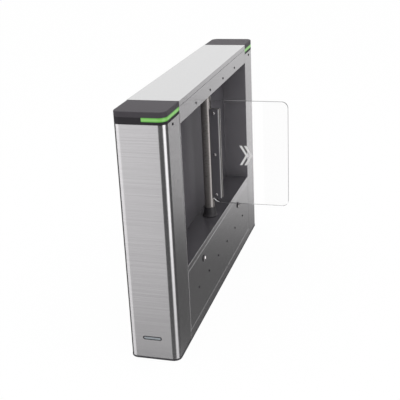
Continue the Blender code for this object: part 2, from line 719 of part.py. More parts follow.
def build_cap(end, side):
    """Moulded end cap: a band plugged into the column, a lid, and a green light between them."""
    low = COLUMN_TOP + CAP_GAP
    rim = CABINET_HEIGHT - LID_HEIGHT
    band = part(end + "_cap_band",
                cup(end_path(0, COLUMN_NEAR, side), end_path(CAP_WALL, COLUMN_NEAR + CAP_WALL, side),
                    low, low + CAP_WALL, rim), MOULDED_GREY, smooth=True)
    seat = SHEET + FIT
    plug = frame(end_path(seat, COLUMN_NEAR + seat, side),
                 end_path(seat + CAP_WALL, COLUMN_NEAR + seat + CAP_WALL, side),
                 COLUMN_TOP - CAP_PLUG, low + CAP_WALL / 2)
    weld(band, plug)
    light_low = rim - LIGHT_HEIGHT
    slot = light_path(-OVERRUN, LIGHT_START, HALF_MIDDLE - OVERRUN, side)
    slot += light_path(CAP_WALL + FIT, LIGHT_START, HALF_MIDDLE - OVERRUN, side)[::-1]
    cut(band, prism(slot, light_low, rim + OVERRUN))

    lid_bottom = rim + FIT
    lid = cup(end_path(0, COLUMN_NEAR, side), end_path(CAP_WALL, COLUMN_NEAR + CAP_WALL, side),
              CABINET_HEIGHT, CABINET_HEIGHT - CAP_WALL, lid_bottom)
    part(end + "_cap_lid", soften(lid, "Z", CABINET_HEIGHT, LID_EDGE - FIT), MOULDED_GREY, smooth=True)

    start = LIGHT_START + FIT
    strip = light_path(0, start, COLUMN_NEAR, side) + light_path(CAP_WALL, start, COLUMN_NEAR, side)[::-1]
    part(end + "_light", prism(strip, light_low + FIT, rim), GREEN_LIGHT, smooth=True)
    near = COLUMN_NEAR + CAP_WALL + FIT
    face = CAP_WALL + 2 * FIT
    board = light_path(face, start, near, side) + light_path(face + LIGHT_BOARD, start, near, side)[::-1]
    part(end + "_light_board", prism(board, low + CAP_WALL + FIT, rim - LIGHT_BOARD_MARGIN),
         CIRCUIT_GREEN, smooth=True)


def build_recess():
    """Dark acrylic lining of the recess, and the steel shelf under it."""
    across = (RECESS_BACK - PANEL, SIDE_SEAT)
    along_y = (-BAY_END, BAY_END)
    part("recess_back", box((RECESS_BACK - PANEL, RECESS_BACK), along_y,
                            (SILL_TOP + FIT, CEILING_BOTTOM - FIT)), DARK_ACRYLIC)
    shelf = part("recess_shelf", box(across, along_y, (SHELF_BOTTOM, SILL_TOP)), DARK_ACRYLIC)
    cut(shelf, rod(SHAFT_X, 0, BORE_RADIUS, SHELF_BOTTOM - OVERRUN, SILL_TOP + OVERRUN,
                   sides=ROUND_SIDES))
    ceiling = part("recess_ceiling", box(across, along_y, (CEILING_BOTTOM, CEILING_TOP)), DARK_ACRYLIC)
    cut(ceiling, rod(SHAFT_X, 0, BORE_RADIUS, CEILING_BOTTOM - OVERRUN, CEILING_TOP + OVERRUN,
                     sides=ROUND_SIDES))
    plate = part("drive_shelf", box((-SIDE_SEAT, SIDE_SEAT), (-FRAME_END, FRAME_END),
                                    (DRIVE_SHELF_BOTTOM, DRIVE_SHELF_TOP)), ZINC)
    cut(plate, rod(SHAFT_X, 0, BORE_RADIUS, DRIVE_SHELF_BOTTOM - OVERRUN, DRIVE_SHELF_TOP + OVERRUN,
                   sides=ROUND_SIDES))


def build_collar():
    """Flared cone on the shelf round the foot of the shaft."""
    bore = SHAFT_RADIUS + SHAFT_RUNNING
    top = bore + COLLAR_WALL
    foot = SILL_TOP + FIT
    head = foot + COLLAR_HEIGHT
    profile = [(bore, foot), (COLLAR_FOOT, foot), (COLLAR_FOOT, foot + COLLAR_FOOT_HEIGHT)]
    shoulder = COLLAR_FOOT - COLLAR_WALL
    profile += [(shoulder, foot + COLLAR_FOOT_HEIGHT + FIT)]
    waist = head - COLLAR_RIM
    for i in range(1, FOLD_STEPS + 1):
        share = i / FOLD_STEPS
        level = foot + COLLAR_FOOT_HEIGHT + COLLAR_FLARE * share
        profile.append((shoulder - (shoulder - top) * (1 - (1 - share) ** 2) / 2, level))
    profile += [(top, waist - FIT), (top + COLLAR_WALL, waist), (top + COLLAR_WALL, head), (bore, head)]
    centre = Vector((SHAFT_X, 0, 0))
    part("shaft_collar", turned(profile, centre, ring=True), BLACK_RUBBER, smooth=True)


def build_bearings():
    """Flanged housings under the shelf and on the bridge, each with its ball bearing."""
    centre = Vector((SHAFT_X, 0, 0))
    throat = SHAFT_RADIUS + SHAFT_RUNNING
    seat = BEARING_RADIUS + FIT
    for name, start, way in (("lower", LOWER_SEAT, -1), ("upper", UPPER_SEAT, 1)):
        levels = [(throat, 0), (HOUSING_FLANGE, 0), (HOUSING_FLANGE, HOUSING_FLANGE_HEIGHT)]
        levels += [(HOUSING_RADIUS, HOUSING_FLANGE_HEIGHT), (HOUSING_RADIUS, HOUSING_HEIGHT)]
        levels += [(seat, HOUSING_HEIGHT), (seat, SEAT_DEPTH), (throat, SEAT_DEPTH)]
        profile = [(radius, start + way * level) for radius, level in levels]
        part(name + "_bearing_housing", turned(profile, centre, ring=True), ZINC, smooth=True)
        low = SEAT_DEPTH + FIT
        high = low + BEARING_HEIGHT
        bore = JOURNAL_RADIUS + FIT
        races = [(bore, low), (bore + BEARING_RACE, low)]
        races += [(bore + BEARING_RACE, low + BEARING_GROOVE)]
        races += [(BEARING_RADIUS - BEARING_RACE, low + BEARING_GROOVE)]
        races += [(BEARING_RADIUS - BEARING_RACE, low), (BEARING_RADIUS, low)]
        section = races + [(radius, low + high - level) for radius, level in races[::-1]]
        profile = [(radius, start + way * level) for radius, level in section]
        part(name + "_bearing", turned(profile, centre, ring=True), GEAR_STEEL, smooth=True)


def build_bridge():
    """Deep channel across the cabinet that holds the upper bearing under the top rails."""
    half = BRIDGE_WIDTH / 2
    wall = BRIDGE_WALL
    top = RAIL_BOTTOM - FIT
    low = BRIDGE_BOTTOM
    outline = [(-half, top), (-half, low), (half, low), (half, top), (half - wall, top)]
    outline += [(half - wall, low + wall), (wall - half, low + wall), (wall - half, top)]
    bridge = part("upper_bridge", prism(outline, -SIDE_SEAT, SIDE_SEAT, "X"), ZINC)
    cut(bridge, rod(SHAFT_X, 0, BORE_RADIUS, low - OVERRUN, low + wall + OVERRUN, sides=ROUND_SIDES))


def involute_gear(teeth, phase):
    """Spur gear outline with involute flanks; one tooth is centred on the phase angle."""
    pitch = GEAR_MODULE * teeth / 2
    base = pitch * math.cos(PRESSURE_ANGLE)
    tip = pitch + GEAR_MODULE
    root = pitch - DEDENDUM_SHARE * GEAR_MODULE
    half_tooth = (math.pi * GEAR_MODULE / 2 - GEAR_BACKLASH) / 2 / pitch

    def roll(radius):
        angle = math.acos(min(1.0, base / radius))
        return math.tan(angle) - angle

    start = max(base, root)
    flank = []
    for i in range(FLANK_STEPS + 1):
        radius = start + (tip - start) * i / FLANK_STEPS
        flank.append((radius, half_tooth + roll(pitch) - roll(radius)))
    if root < base:
        flank.insert(0, (root, flank[0][1]))
    outline = []
    for tooth in range(teeth):
        middle = phase + 2 * math.pi * tooth / teeth
        polar = [(radius, middle - half) for radius, half in flank]
        polar += [(radius, middle + half) for radius, half in flank[::-1]]
        outline += [(radius * math.cos(a), radius * math.sin(a)) for radius, a in polar]
    return outline


def build_wing(carrier):
    """Everything that turns with the wing: shaft with its welded carrier, wing, clamp, gear."""
    centre = Vector((SHAFT_X, 0, 0))
    journal = JOURNAL_RADIUS
    top = UPPER_SHOULDER + FIT + BEARING_HEIGHT + JOURNAL_TOP
    profile = [(journal, SHAFT_END), (journal, LOWER_SHOULDER), (SHAFT_RADIUS, LOWER_SHOULDER)]
    profile += [(SHAFT_RADIUS, UPPER_SHOULDER), (journal, UPPER_SHOULDER), (journal, top)]
    shaft = part("wing_shaft", turned(profile, centre, sides=SHAFT_SIDES), POLISHED, carrier, True)
    weld(shaft, box((SHAFT_X, STRIP_RIGHT), (CLAMP_BACK, CLAMP_FRONT), (CLAMP_BOTTOM, CLAMP_TOP)))
    screws = screw_heights()
    wing_slot = box((WING_LEFT - FIT, SHAFT_X + SHAFT_RADIUS + OVERRUN), (-CLAMP_BACK, CLAMP_BACK),
                    (WING_BOTTOM - FIT, WING_TOP + FIT))
    cut(shaft, wing_slot)
    rebate = box((CLAMP_LEFT - FIT, SHAFT_X + SHAFT_RADIUS + OVERRUN), (-CLAMP_FRONT - FIT, 0),
                 (CLAMP_BOTTOM - FIT, CLAMP_TOP + FIT))
    cut(shaft, rebate)
    cut(shaft, *[rod(SCREW_X, z, SCREW_RADIUS + FIT, 0, CLAMP_FRONT + OVERRUN, "Y", SMALL_SIDES)
                 for z in screws])

    outline = rounded((WING_LEFT, WING_RIGHT), (WING_BOTTOM, WING_TOP), WING_CORNER)
    wing = part("wing_panel", prism(outline, -WING_FACE, WING_FACE, "Y"), CLEAR_ACRYLIC, carrier)
    cut(wing, *[rod(SCREW_X, z, SCREW_RADIUS + FIT, -WING_FACE - OVERRUN, WING_FACE + OVERRUN, "Y",
                    SMALL_SIDES) for z in screws])

    clamp_mesh = box((CLAMP_LEFT, CLAMP_RIGHT), (-CLAMP_FRONT, -CLAMP_BACK), (CLAMP_BOTTOM, CLAMP_TOP))
    clamp = part("front_clamp", soften(clamp_mesh, "Y", -CLAMP_FRONT, CLAMP_EDGE, 1), CLAMP_GREY, carrier)
    cut(clamp, *[rod(SCREW_X, z, SCREW_RADIUS + FIT, -CLAMP_FRONT - OVERRUN, 0, "Y", SMALL_SIDES)
                 for z in screws])
    part("clamp_edge_strip", box((CLAMP_RIGHT + FIT, STRIP_RIGHT),
                                 (-CLAMP_BACK - STRIP_THICKNESS, -CLAMP_BACK),
                                 (CLAMP_BOTTOM, CLAMP_TOP)), ALUMINIUM, carrier)
    build_clamp_screws(carrier, screws)
    build_gear(carrier, centre)


def screw_heights():
    """Clamp screws: one near each end of the clamp and one between them."""
    low = CLAMP_BOTTOM + SCREW_END
    high = CLAMP_TOP - SCREW_END
    return [low + (high - low) * i / (SCREW_COUNT - 1) for i in range(SCREW_COUNT)]


def build_clamp_screws(carrier, heights):
    """Button-head screws with a hexagon socket, through the clamp, the wing and the carrier."""
    seat = -CLAMP_FRONT - FIT
    for number, z in enumerate(heights, 1):
        rise = SCREW_HEAD_HEIGHT
        profile = [(SCREW_HEAD * out, seat - rise * up) for out, up in SCREW_CROWN_SHARES]
        profile += [(SCREW_HEAD, seat), (SCREW_RADIUS, seat), (SCREW_RADIUS, CLAMP_FRONT)]
        body = turned(profile, Vector((SCREW_X, 0, z)), "Y", sides=SMALL_SIDES)
        screw = part("clamp_screw_" + str(number), body, POLISHED, carrier, True)
        socket = polygon(SCREW_X, z, SCREW_SOCKET, HEXAGON)
        cut(screw, prism(socket, seat - rise - OVERRUN, seat - rise + SCREW_SOCKET_DEPTH, "Y"))


def build_gear(carrier, centre):
    """Driven gear with its hub, the notched position disc and the nut that holds them."""
    bore = JOURNAL_RADIUS + FIT
    outline = [(SHAFT_X + x, y) for x, y in involute_gear(GEAR_TEETH, PINION_BEARING)]
    gear = part("driven_gear", prism(outline, GEAR_BOTTOM, GEAR_TOP), GEAR_STEEL, carrier)
    weld(gear, rod(SHAFT_X, 0, HUB_RADIUS, HUB_BOTTOM, HUB_TOP, sides=ROUND_SIDES))
    root = GEAR_RADIUS - DEDENDUM_SHARE * GEAR_MODULE
    circle = (HUB_RADIUS + root) / 2
    tools = [rod(SHAFT_X, 0, bore, HUB_BOTTOM - OVERRUN, HUB_TOP + OVERRUN, sides=ROUND_SIDES)]
    for x, y in polygon(SHAFT_X, 0, circle, GEAR_HOLES):
        tools.append(rod(x, y, GEAR_HOLE_RADIUS, GEAR_BOTTOM - OVERRUN, GEAR_TOP + OVERRUN,
                         sides=SMALL_SIDES))
    cut(gear, *tools)

    ring = [(bore, DISC_BOTTOM), (DISC_RADIUS, DISC_BOTTOM), (DISC_RADIUS, DISC_TOP), (bore, DISC_TOP)]
    disc = part("position_disc", turned(ring, centre, ring=True), ZINC, carrier, True)
    notches = []
    for x, y in polygon(SHAFT_X, 0, DISC_RADIUS, DISC_NOTCHES):
        notches.append(rod(x, y, DISC_NOTCH, DISC_BOTTOM - OVERRUN, DISC_TOP + OVERRUN,
                           sides=SMALL_SIDES))
    cut(disc, *notches)
    nut = prism(polygon(SHAFT_X, 0, NUT_RADIUS, HEXAGON), NUT_BOTTOM, NUT_TOP)
    nut = part("shaft_nut", nut, ZINC, carrier)
    cut(nut, rod(SHAFT_X, 0, bore, NUT_BOTTOM - OVERRUN, NUT_TOP + OVERRUN, sides=ROUND_SIDES))


def build_drive(carrier):
    """Drive plate with its four posts, gearmotor and brake, pinion and position sensor."""
    margin = DRIVE_MARGIN
    x_span = (PINION_X - margin, SHAFT_X + DRIVE_REACH)
    y_span = (-margin - POST_INSET, PINION_Y + margin)
    outline = rounded(x_span, y_span, POST_INSET, FOLD_STEPS)
    plate = part("drive_plate", prism(outline, DRIVE_BOTTOM, DRIVE_TOP), ZINC)
    cut(plate, rod(PINION_X, PINION_Y, PILOT_RADIUS + FIT, DRIVE_BOTTOM - OVERRUN, DRIVE_TOP + OVERRUN))
    posts = []
    for x in (x_span[0] + POST_INSET, x_span[1] - POST_INSET):
        for y in (y_span[0] + POST_INSET, y_span[1] - POST_INSET):
            posts.append(rod(x, y, POST_RADIUS, DRIVE_TOP - DRIVE_PLATE / 2, DRIVE_SHELF_BOTTOM - FIT,
                             sides=SMALL_SIDES))
    weld(plate, *posts)

    centre = Vector((PINION_X, PINION_Y, 0))
    bore = OUTPUT_RADIUS + FIT
    gearbox_end = MOTOR_TOP - GEARBOX_LENGTH
    motor_end = gearbox_end - MOTOR_LENGTH
    profile = [(bore, MOTOR_TOP - OUTPUT_DEPTH), (bore, MOTOR_TOP + PILOT_HEIGHT)]
    profile += [(PILOT_RADIUS, MOTOR_TOP + PILOT_HEIGHT), (PILOT_RADIUS, MOTOR_TOP)]
    profile += [(GEARBOX_RADIUS, MOTOR_TOP), (GEARBOX_RADIUS, gearbox_end), (MOTOR_RADIUS, gearbox_end)]
    profile += [(MOTOR_RADIUS, motor_end + MOTOR_EDGE), (MOTOR_RADIUS - MOTOR_EDGE, motor_end)]
    brake_end = motor_end - BRAKE_LENGTH
    profile += [(BRAKE_RADIUS - MOTOR_EDGE, motor_end), (BRAKE_RADIUS - MOTOR_EDGE, motor_end - MOTOR_EDGE)]
    profile += [(BRAKE_RADIUS, motor_end - MOTOR_EDGE), (BRAKE_RADIUS, brake_end + MOTOR_EDGE)]
    profile += [(BRAKE_RADIUS - MOTOR_EDGE, brake_end)]
    part("gearmotor", turned(profile, centre, sides=MEDIUM_SIDES), BLACK_STEEL, smooth=True)

    low = GEAR_BOTTOM - PINION_EXTRA
    high = GEAR_TOP + PINION_EXTRA
    facing = PINION_BEARING + math.pi + math.pi / PINION_TEETH
    outline = [(PINION_X + x, PINION_Y + y) for x, y in involute_gear(PINION_TEETH, facing)]
    pinion = part("motor_pinion", prism(outline, low, high), GEAR_STEEL, carrier)
    weld(pinion, rod(PINION_X, PINION_Y, OUTPUT_RADIUS, MOTOR_TOP - OUTPUT_DEPTH + FIT,
                     high + OUTPUT_STICK_OUT))

    rim = -DISC_RADIUS
    back = rim - FORK_GAP - FORK_BODY
    throat = rim - FORK_GAP
    tip = rim + FORK_REACH
    foot = DRIVE_TOP + FIT
    lower = DISC_BOTTOM - FORK_GAP
    upper = DISC_TOP + FORK_GAP
    outline = [(back, foot), (tip, foot), (tip, lower), (throat, lower), (throat, upper), (tip, upper)]
    outline += [(tip, upper + FORK_ARM), (back, upper + FORK_ARM)]
    span = around(SHAFT_X, FORK_WIDTH)
    part("position_sensor", prism(outline, span[0], span[1], "X"), SENSOR_BLACK)


def eye(y, z, collar, tip):
    """Infrared eye along X: barrel, collar and nose."""
    profile = [(EYE_BARREL, collar - EYE_BARREL_LENGTH), (EYE_BARREL, collar), (EYE_COLLAR, collar)]
    profile += [(EYE_COLLAR, collar + EYE_COLLAR_LENGTH), (EYE_NOSE, collar + EYE_COLLAR_LENGTH)]
    profile += [(EYE_NOSE, tip)]
    return turned(profile, Vector((0, y, z)), "X", sides=SMALL_SIDES)


def eye_strip(name, places, z, collar, tip):
    """Row of eyes whose collars stand on one moulded strip."""
    margin = EYE_COLLAR + EYE_BARREL
    strip = part(name, box((collar, collar + EYE_STRIP), (places[0] - margin, places[-1] + margin),
                           around(z, EYE_STRIP_HEIGHT)), SENSOR_BLACK)
    weld(strip, *[eye(y, z, collar, tip) for y in places])


def build_eyes():
    """Eye strips behind the band, one eye in each column, and the strip behind the door."""
    reach = HALF_WIDTH - EYE_SETBACK
    collar = SIDE_SEAT - EYE_COLLAR_LENGTH
    places = spread(BAND_EYES, BAND_EYE_PITCH)
    half = BAND_EYES // 2
    for name, row in (("front_band_eyes", places[:half]), ("rear_band_eyes", places[half:])):
        eye_strip(name, row, EYE_HEIGHT, collar, reach)
    collar = COLUMN_HALF_WIDTH - SHEET - FIT - EYE_COLLAR_LENGTH
    for end, side in (("front", FRONT), ("rear", REAR)):
        single = eye(side * COLUMN_MIDDLE, EYE_HEIGHT, collar, COLUMN_HALF_WIDTH - EYE_SETBACK)
        part(end + "_column_eye", single, SENSOR_BLACK, smooth=True)

    back = EYE_RAIL_FRONT - EYE_RAIL
    rail = part("eye_rail", box((back, EYE_RAIL_FRONT), (-BAY_END, BAY_END),
                                around(DOOR_EYE_HEIGHT, EYE_RAIL_HEIGHT)), ZINC)
    places = spread(DOOR_EYES, DOOR_EYE_PITCH)
    cut(rail, *[rod(y, DOOR_EYE_HEIGHT, EYE_BARREL + EYE_CLEARANCE, back - OVERRUN,
                    EYE_RAIL_FRONT + OVERRUN, "X", SMALL_SIDES) for y in places])
    eye_strip("door_eyes", places, DOOR_EYE_HEIGHT, EYE_RAIL_FRONT + FIT, reach)


def build_door(carrier):
    """Lift-off door: a tray with pegs along its foot, and two lock housings with their nuts."""
    low = PLINTH_TOP + DOOR_GAP
    high = SILL_BOTTOM - DOOR_GAP
    outer = rounded((-DOOR_END, DOOR_END), (low, high), DOOR_CORNER, FOLD_STEPS)
    inner = rounded((SHEET - DOOR_END, DOOR_END - SHEET), (low + SHEET, high - SHEET),
                    DOOR_CORNER - SHEET, FOLD_STEPS)
    door = part("access_door", cup(outer, inner, HALF_WIDTH, SIDE_FACE, DOOR_RIM, "X"), STAINLESS,
                carrier)
    weld(door, *[rod(y, z, PEG_RADIUS, SIDE_FACE - PEG_LENGTH, SIDE_FACE + SHEET / 2, "X", SMALL_SIDES)
                 for y, z in peg_places()])
    reach = (SIDE_FACE - OVERRUN, HALF_WIDTH + OVERRUN)
    tools = [rod(y, DOOR_EYE_HEIGHT, EYE_NOSE + EYE_CLEARANCE, reach[0], reach[1], "X", SMALL_SIDES)
             for y in spread(DOOR_EYES, DOOR_EYE_PITCH)]
    tools += [rod(side * LOCK_OFFSET, LOCK_HEIGHT, BARREL_RADIUS + FIT, reach[0], reach[1], "X")
              for side in (FRONT, REAR)]
    cut(door, *tools)

    bore = PLUG_RADIUS + FIT
    seat = HALF_WIDTH + FIT
    crown = seat + BEZEL_HEIGHT
    for end, side in (("front", FRONT), ("rear", REAR)):
        profile = [(bore, LOCK_FLOOR), (BARREL_RADIUS, LOCK_FLOOR), (BARREL_RADIUS, seat)]
        profile += [(BEZEL_RADIUS, seat), (BEZEL_RADIUS, crown - BEZEL_EDGE)]
        profile += [(BEZEL_RADIUS - BEZEL_EDGE, crown), (bore, crown)]
        centre = Vector((0, side * LOCK_OFFSET, LOCK_HEIGHT))
        housing = part(end + "_lock_housing", turned(profile, centre, "X", True, MEDIUM_SIDES), POLISHED,
                       carrier, True)
        outside = polygon(side * LOCK_OFFSET, LOCK_HEIGHT, LOCK_NUT_RADIUS, HEXAGON)
        inside = polygon(side * LOCK_OFFSET, LOCK_HEIGHT, (bore + BARREL_RADIUS) / 2, HEXAGON)
        weld(housing, frame(outside, inside, SIDE_SEAT - LOCK_NUT_HEIGHT, SIDE_SEAT, "X"))


def build_lock(end, side, carrier):
    """Lock plug with its keyway and the cam that turns up behind the sill flange."""
    y = side * LOCK_OFFSET
    z = LOCK_HEIGHT
    centre = Vector((0, y, z))
    neck = PLUG_BACK - PLUG_TAIL_LENGTH
    face = HALF_WIDTH + BEZEL_HEIGHT
    profile = [(PLUG_NUT_RADIUS, neck - PLUG_NUT_HEIGHT), (PLUG_NUT_RADIUS, neck), (PLUG_TAIL, neck)]
    profile += [(PLUG_TAIL, PLUG_BACK), (PLUG_RADIUS, PLUG_BACK), (PLUG_RADIUS, face)]
    plug = part(end + "_lock_plug", turned(profile, centre, "X", sides=MEDIUM_SIDES), POLISHED,
                carrier, True)
    keyway = rectangle(around(y, KEYWAY_WIDTH), around(z, KEYWAY_LENGTH))
    cut(plug, prism(keyway, face - KEYWAY_DEPTH, face + OVERRUN, "X"))
    half = CAM_WIDTH / 2
    outline = arc(y, z, half, 90, 270) + [(y + CAM_LENGTH, z - half), (y + CAM_LENGTH, z + half)]
    weld(plug, prism(outline, neck, PLUG_BACK, "X"))


def build_equipment():
    """Tray on the left side with the power supply, the control board and the terminals."""
    face = EQUIPMENT_FACE
    end = EQUIPMENT_END
    outer = rounded((-end, end), (EQUIPMENT_BOTTOM, EQUIPMENT_TOP), DOOR_CORNER, 1)
    inner = rounded((SHEET - end, end - SHEET), (EQUIPMENT_BOTTOM + SHEET, EQUIPMENT_TOP - SHEET),
                    DOOR_CORNER - SHEET, 1)
    part("equipment_plate", cup(outer, inner, face, face - SHEET, -SIDE_SEAT, "X"), ZINC)
    build_supply()
    build_board()
    build_terminals()


def build_supply():
    """Power supply: a case with a row of slots in its front."""
    start = EQUIPMENT_MARGIN - EQUIPMENT_END
    y_span = (start, start + SUPPLY_LENGTH)
    z_span = around((EQUIPMENT_BOTTOM + EQUIPMENT_TOP) / 2, SUPPLY_HEIGHT)
    front = EQUIPMENT_SEAT + SUPPLY_DEPTH
    case = part("power_supply", box((EQUIPMENT_SEAT, front), y_span, z_span), ALUMINIUM)
    middle = sum(z_span) / 2
    pitch = SUPPLY_LENGTH / (SUPPLY_SLOTS + 1)
    slots = []
    for i in range(SUPPLY_SLOTS):
        y = y_span[0] + pitch * (i + 1)
        slots.append(box((front - SUPPLY_SLOT_DEPTH, front + OVERRUN), around(y, SUPPLY_SLOT_WIDTH),
                         around(middle, SUPPLY_HEIGHT * SUPPLY_SLOT_SHARE)))
    cut(case, *slots)


def build_board():
    """Control board with its spacers, relays, capacitors and connector strip soldered on."""
    high_y = -EQUIPMENT_START - EQUIPMENT_MARGIN
    y_span = (high_y - BOARD_LENGTH, high_y)
    z_span = around((EQUIPMENT_BOTTOM + EQUIPMENT_TOP) / 2, BOARD_HEIGHT)
    back = EQUIPMENT_SEAT + SPACER_LENGTH
    front = back + BOARD
    board = part("control_board", box((back, front), y_span, z_span), CIRCUIT_GREEN)
    pieces = []
    for y in (y_span[0] + SPACER_INSET, y_span[1] - SPACER_INSET):
        for z in (z_span[0] + SPACER_INSET, z_span[1] - SPACER_INSET):
            pieces.append(rod(y, z, SPACER_RADIUS, EQUIPMENT_SEAT, back + BOARD / 2, "X", SMALL_SIDES))
    root = front - BOARD / 2
    pitch = (BOARD_LENGTH - 2 * SPACER_INSET) / RELAYS
    for i in range(RELAYS):
        y = y_span[0] + SPACER_INSET + pitch * (i + 0.5)
        z = z_span[0] + BOARD_HEIGHT * RELAY_SHARE
        pieces.append(box((root, front + RELAY_HEIGHT), around(y, RELAY_SIZE), around(z, RELAY_SIZE)))
        if i % 2:
            pieces.append(rod(y, z + BOARD_HEIGHT * CAPACITOR_SHARE, CAPACITOR_RADIUS, root,
                              front + CAPACITOR_HEIGHT, "X", SMALL_SIDES))
    strip_z = z_span[1] - SPACER_INSET - CONNECTOR_DEPTH
    pieces.append(box((root, front + CONNECTOR_HEIGHT),
                      (y_span[0] + 2 * SPACER_INSET, y_span[1] - 2 * SPACER_INSET),
                      around(strip_z, CONNECTOR_DEPTH)))
    weld(board, *pieces)


def build_terminals():
    """Top-hat rail, and on it a row of terminals with the mains switch at its end."""
    middle_y = (EQUIPMENT_START + EQUIPMENT_END) / 2
    middle_z = (EQUIPMENT_BOTTOM + EQUIPMENT_TOP) / 2
    y_span = around(middle_y, TERMINAL_RAIL_LENGTH)
    half = RAIL_HAT / 2
    back = EQUIPMENT_SEAT
    front = back + RAIL_HAT_DEPTH
    wall = RAIL_HAT_WALL
    hat = half - RAIL_HAT_BRIM
    upper = [(front, half), (front, hat - wall), (back + wall, hat - wall)]
    upper_back = [(back, hat), (front - wall, hat), (front - wall, half)]
    outline = [(x, middle_z + z) for x, z in upper]
    outline += [(x, middle_z - z) for x, z in upper[::-1]]
    outline += [(x, middle_z - z) for x, z in upper_back[::-1]]
    outline += [(x, middle_z + z) for x, z in upper_back]
    part("terminal_rail", prism(outline, y_span[0], y_span[1], "Y"), ZINC)

    seat = front + FIT
    z_span = around(middle_z, TERMINAL_HEIGHT)
    crown = seat + TERMINAL_DEPTH
    neck = TERMINAL_NECK
    section = [(seat, z_span[0]), (seat + neck, z_span[0]), (crown, z_span[0] + neck)]
    section += [(crown, z_span[1] - neck), (seat + neck, z_span[1]), (seat, z_span[1])]
    row_end = y_span[0] + TERMINALS * TERMINAL_PITCH
    blocks = part("terminal_blocks", prism(section, y_span[0], row_end, "Y"), RELAY_GREY)
    grooves = []
    for i in range(1, TERMINALS):
        y = y_span[0] + TERMINAL_PITCH * i
        grooves.append(box((seat + neck, crown + OVERRUN), around(y, TERMINAL_GAP),
                           (z_span[0] - OVERRUN, z_span[1] + OVERRUN)))
    cut(blocks, *grooves)

    z_span = around(middle_z, SWITCH_HEIGHT)
    crown = seat + SWITCH_DEPTH
    waist = around(middle_z, SWITCH_HEIGHT * SWITCH_LEVER_SHARE)
    step = crown - SWITCH_STEP
    section = [(seat, z_span[0]), (step, z_span[0]), (step, waist[0]), (crown, waist[0])]
    section += [(crown, waist[1]), (step, waist[1]), (step, z_span[1]), (seat, z_span[1])]
    start = row_end - TERMINAL_GAP
    weld(blocks, prism(section, start, start + SWITCH_LENGTH, "Y"))


def main():
    for item in list(bpy.data.objects):
        bpy.data.objects.remove(item, do_unlink=True)
    build_base()
    for end, side in (("front", FRONT), ("rear", REAR)):
        build_column(end + "_column", side)
        build_bulkhead(end + "_bulkhead", side)
        build_cap(end, side)
    build_side_sheets()
    build_top()
    build_recess()
    build_collar()
    build_bearings()
    build_bridge()
    build_wing(pivot("wing_axis", SHAFT_X, 0, 0))
    build_drive(pivot("pinion_axis", PINION_X, PINION_Y, 0))
    build_eyes()
    door_place = pivot("door_place", HALF_WIDTH, 0, PLINTH_TOP)
    build_door(door_place)
    for end, side in (("front", FRONT), ("rear", REAR)):
        axis = pivot(end + "_lock_axis", HALF_WIDTH, side * LOCK_OFFSET, LOCK_HEIGHT)
        build_lock(end, side, axis)
    build_equipment()


main()
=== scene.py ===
# Looks of a swing-barrier turnstile: brushed stainless pedestal, dark acrylic recess, clear wing.
# Metres, +Z up. The wing points along +X, the entrance end of the cabinet is at -Y.

import json
import math

import bmesh
import bpy
from mathutils import Matrix, Vector


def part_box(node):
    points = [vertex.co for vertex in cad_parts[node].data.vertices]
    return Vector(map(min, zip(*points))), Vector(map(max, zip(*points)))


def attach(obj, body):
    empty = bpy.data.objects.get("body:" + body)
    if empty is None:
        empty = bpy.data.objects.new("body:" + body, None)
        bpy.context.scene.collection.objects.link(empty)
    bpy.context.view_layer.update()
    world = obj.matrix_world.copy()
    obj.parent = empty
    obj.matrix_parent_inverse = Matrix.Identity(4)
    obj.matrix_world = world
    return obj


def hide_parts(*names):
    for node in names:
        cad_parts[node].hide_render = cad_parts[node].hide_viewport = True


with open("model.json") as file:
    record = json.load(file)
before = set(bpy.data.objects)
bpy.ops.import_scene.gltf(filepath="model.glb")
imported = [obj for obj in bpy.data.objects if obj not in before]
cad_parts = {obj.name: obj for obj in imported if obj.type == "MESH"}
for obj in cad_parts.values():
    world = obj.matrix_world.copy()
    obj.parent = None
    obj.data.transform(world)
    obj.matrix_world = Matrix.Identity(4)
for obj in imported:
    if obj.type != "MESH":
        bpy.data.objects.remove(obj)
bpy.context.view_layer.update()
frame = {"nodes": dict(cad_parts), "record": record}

# Camera, solved from the cabinet's edges for a 400 x 400 image
CAMERA_PLACE = (0.98865, -3.33195, 1.70827)
CAMERA_YAW = -0.28764
CAMERA_PITCH = -0.36205
CAMERA_ROLL = 0.04679
SENSOR_WIDTH = 36.0
FOCAL_LENGTH = 75.379

# The two ends of the cabinet and their directions along Y
ENDS = (("front", -1), ("rear", 1))

# Fineness of the meshes, and what counts as one point, a sharp edge, one plane and a flat face
CORNER_STEPS = 16
FOLD_STEPS = 5
EDGE_STEPS = 2
TURN_STEPS = 96
SMALL_TURN_STEPS = 32
SCREW_STEPS = 16
LID_ROUND_STEPS = 6
MERGE = 0.00001
SHARP = math.radians(28)
SAME_PLANE = math.radians(0.5)
FLAT = 0.9

# Sheet steel: wall, folds and broken edges
SHEET = 0.002
SHEET_EDGE = 0.0004
FOLD = 0.0016
TIGHT_FOLD = 0.0006
END_FOLD = 0.0017
DOOR_FOLD = 0.0026
# A rim's edges are looked for this near its outermost line
RIM_CORNER = 0.0051
# Sheet pieces: how much the top edge is lowered for a shadow gap, the rim's radius and its side
SHEETS = {
    "top_band": (0.0014, FOLD, "bottom"), "sill_rail": (0.0, FOLD, "top"), "plinth_rail": (0.0, FOLD, "top"),
    "access_door": (0.0003, DOOR_FOLD, "all"), "left_side_panel": (0.0, FOLD, "all"),
}

# Roughness of the fine noises in the finishes, and the share of the broad streaks in brushed steel
GRAIN_SOFTNESS = 0.6
STREAK_SHARE = 0.48

# End columns and caps
CORNER_RADIUS = 0.030
EYE_HOLE = 0.0046
HOLE_DEPTH = 0.02
CAP_WALL = 0.003
LID_ROUND = 0.0037
MOULDED_EDGE = 0.0006

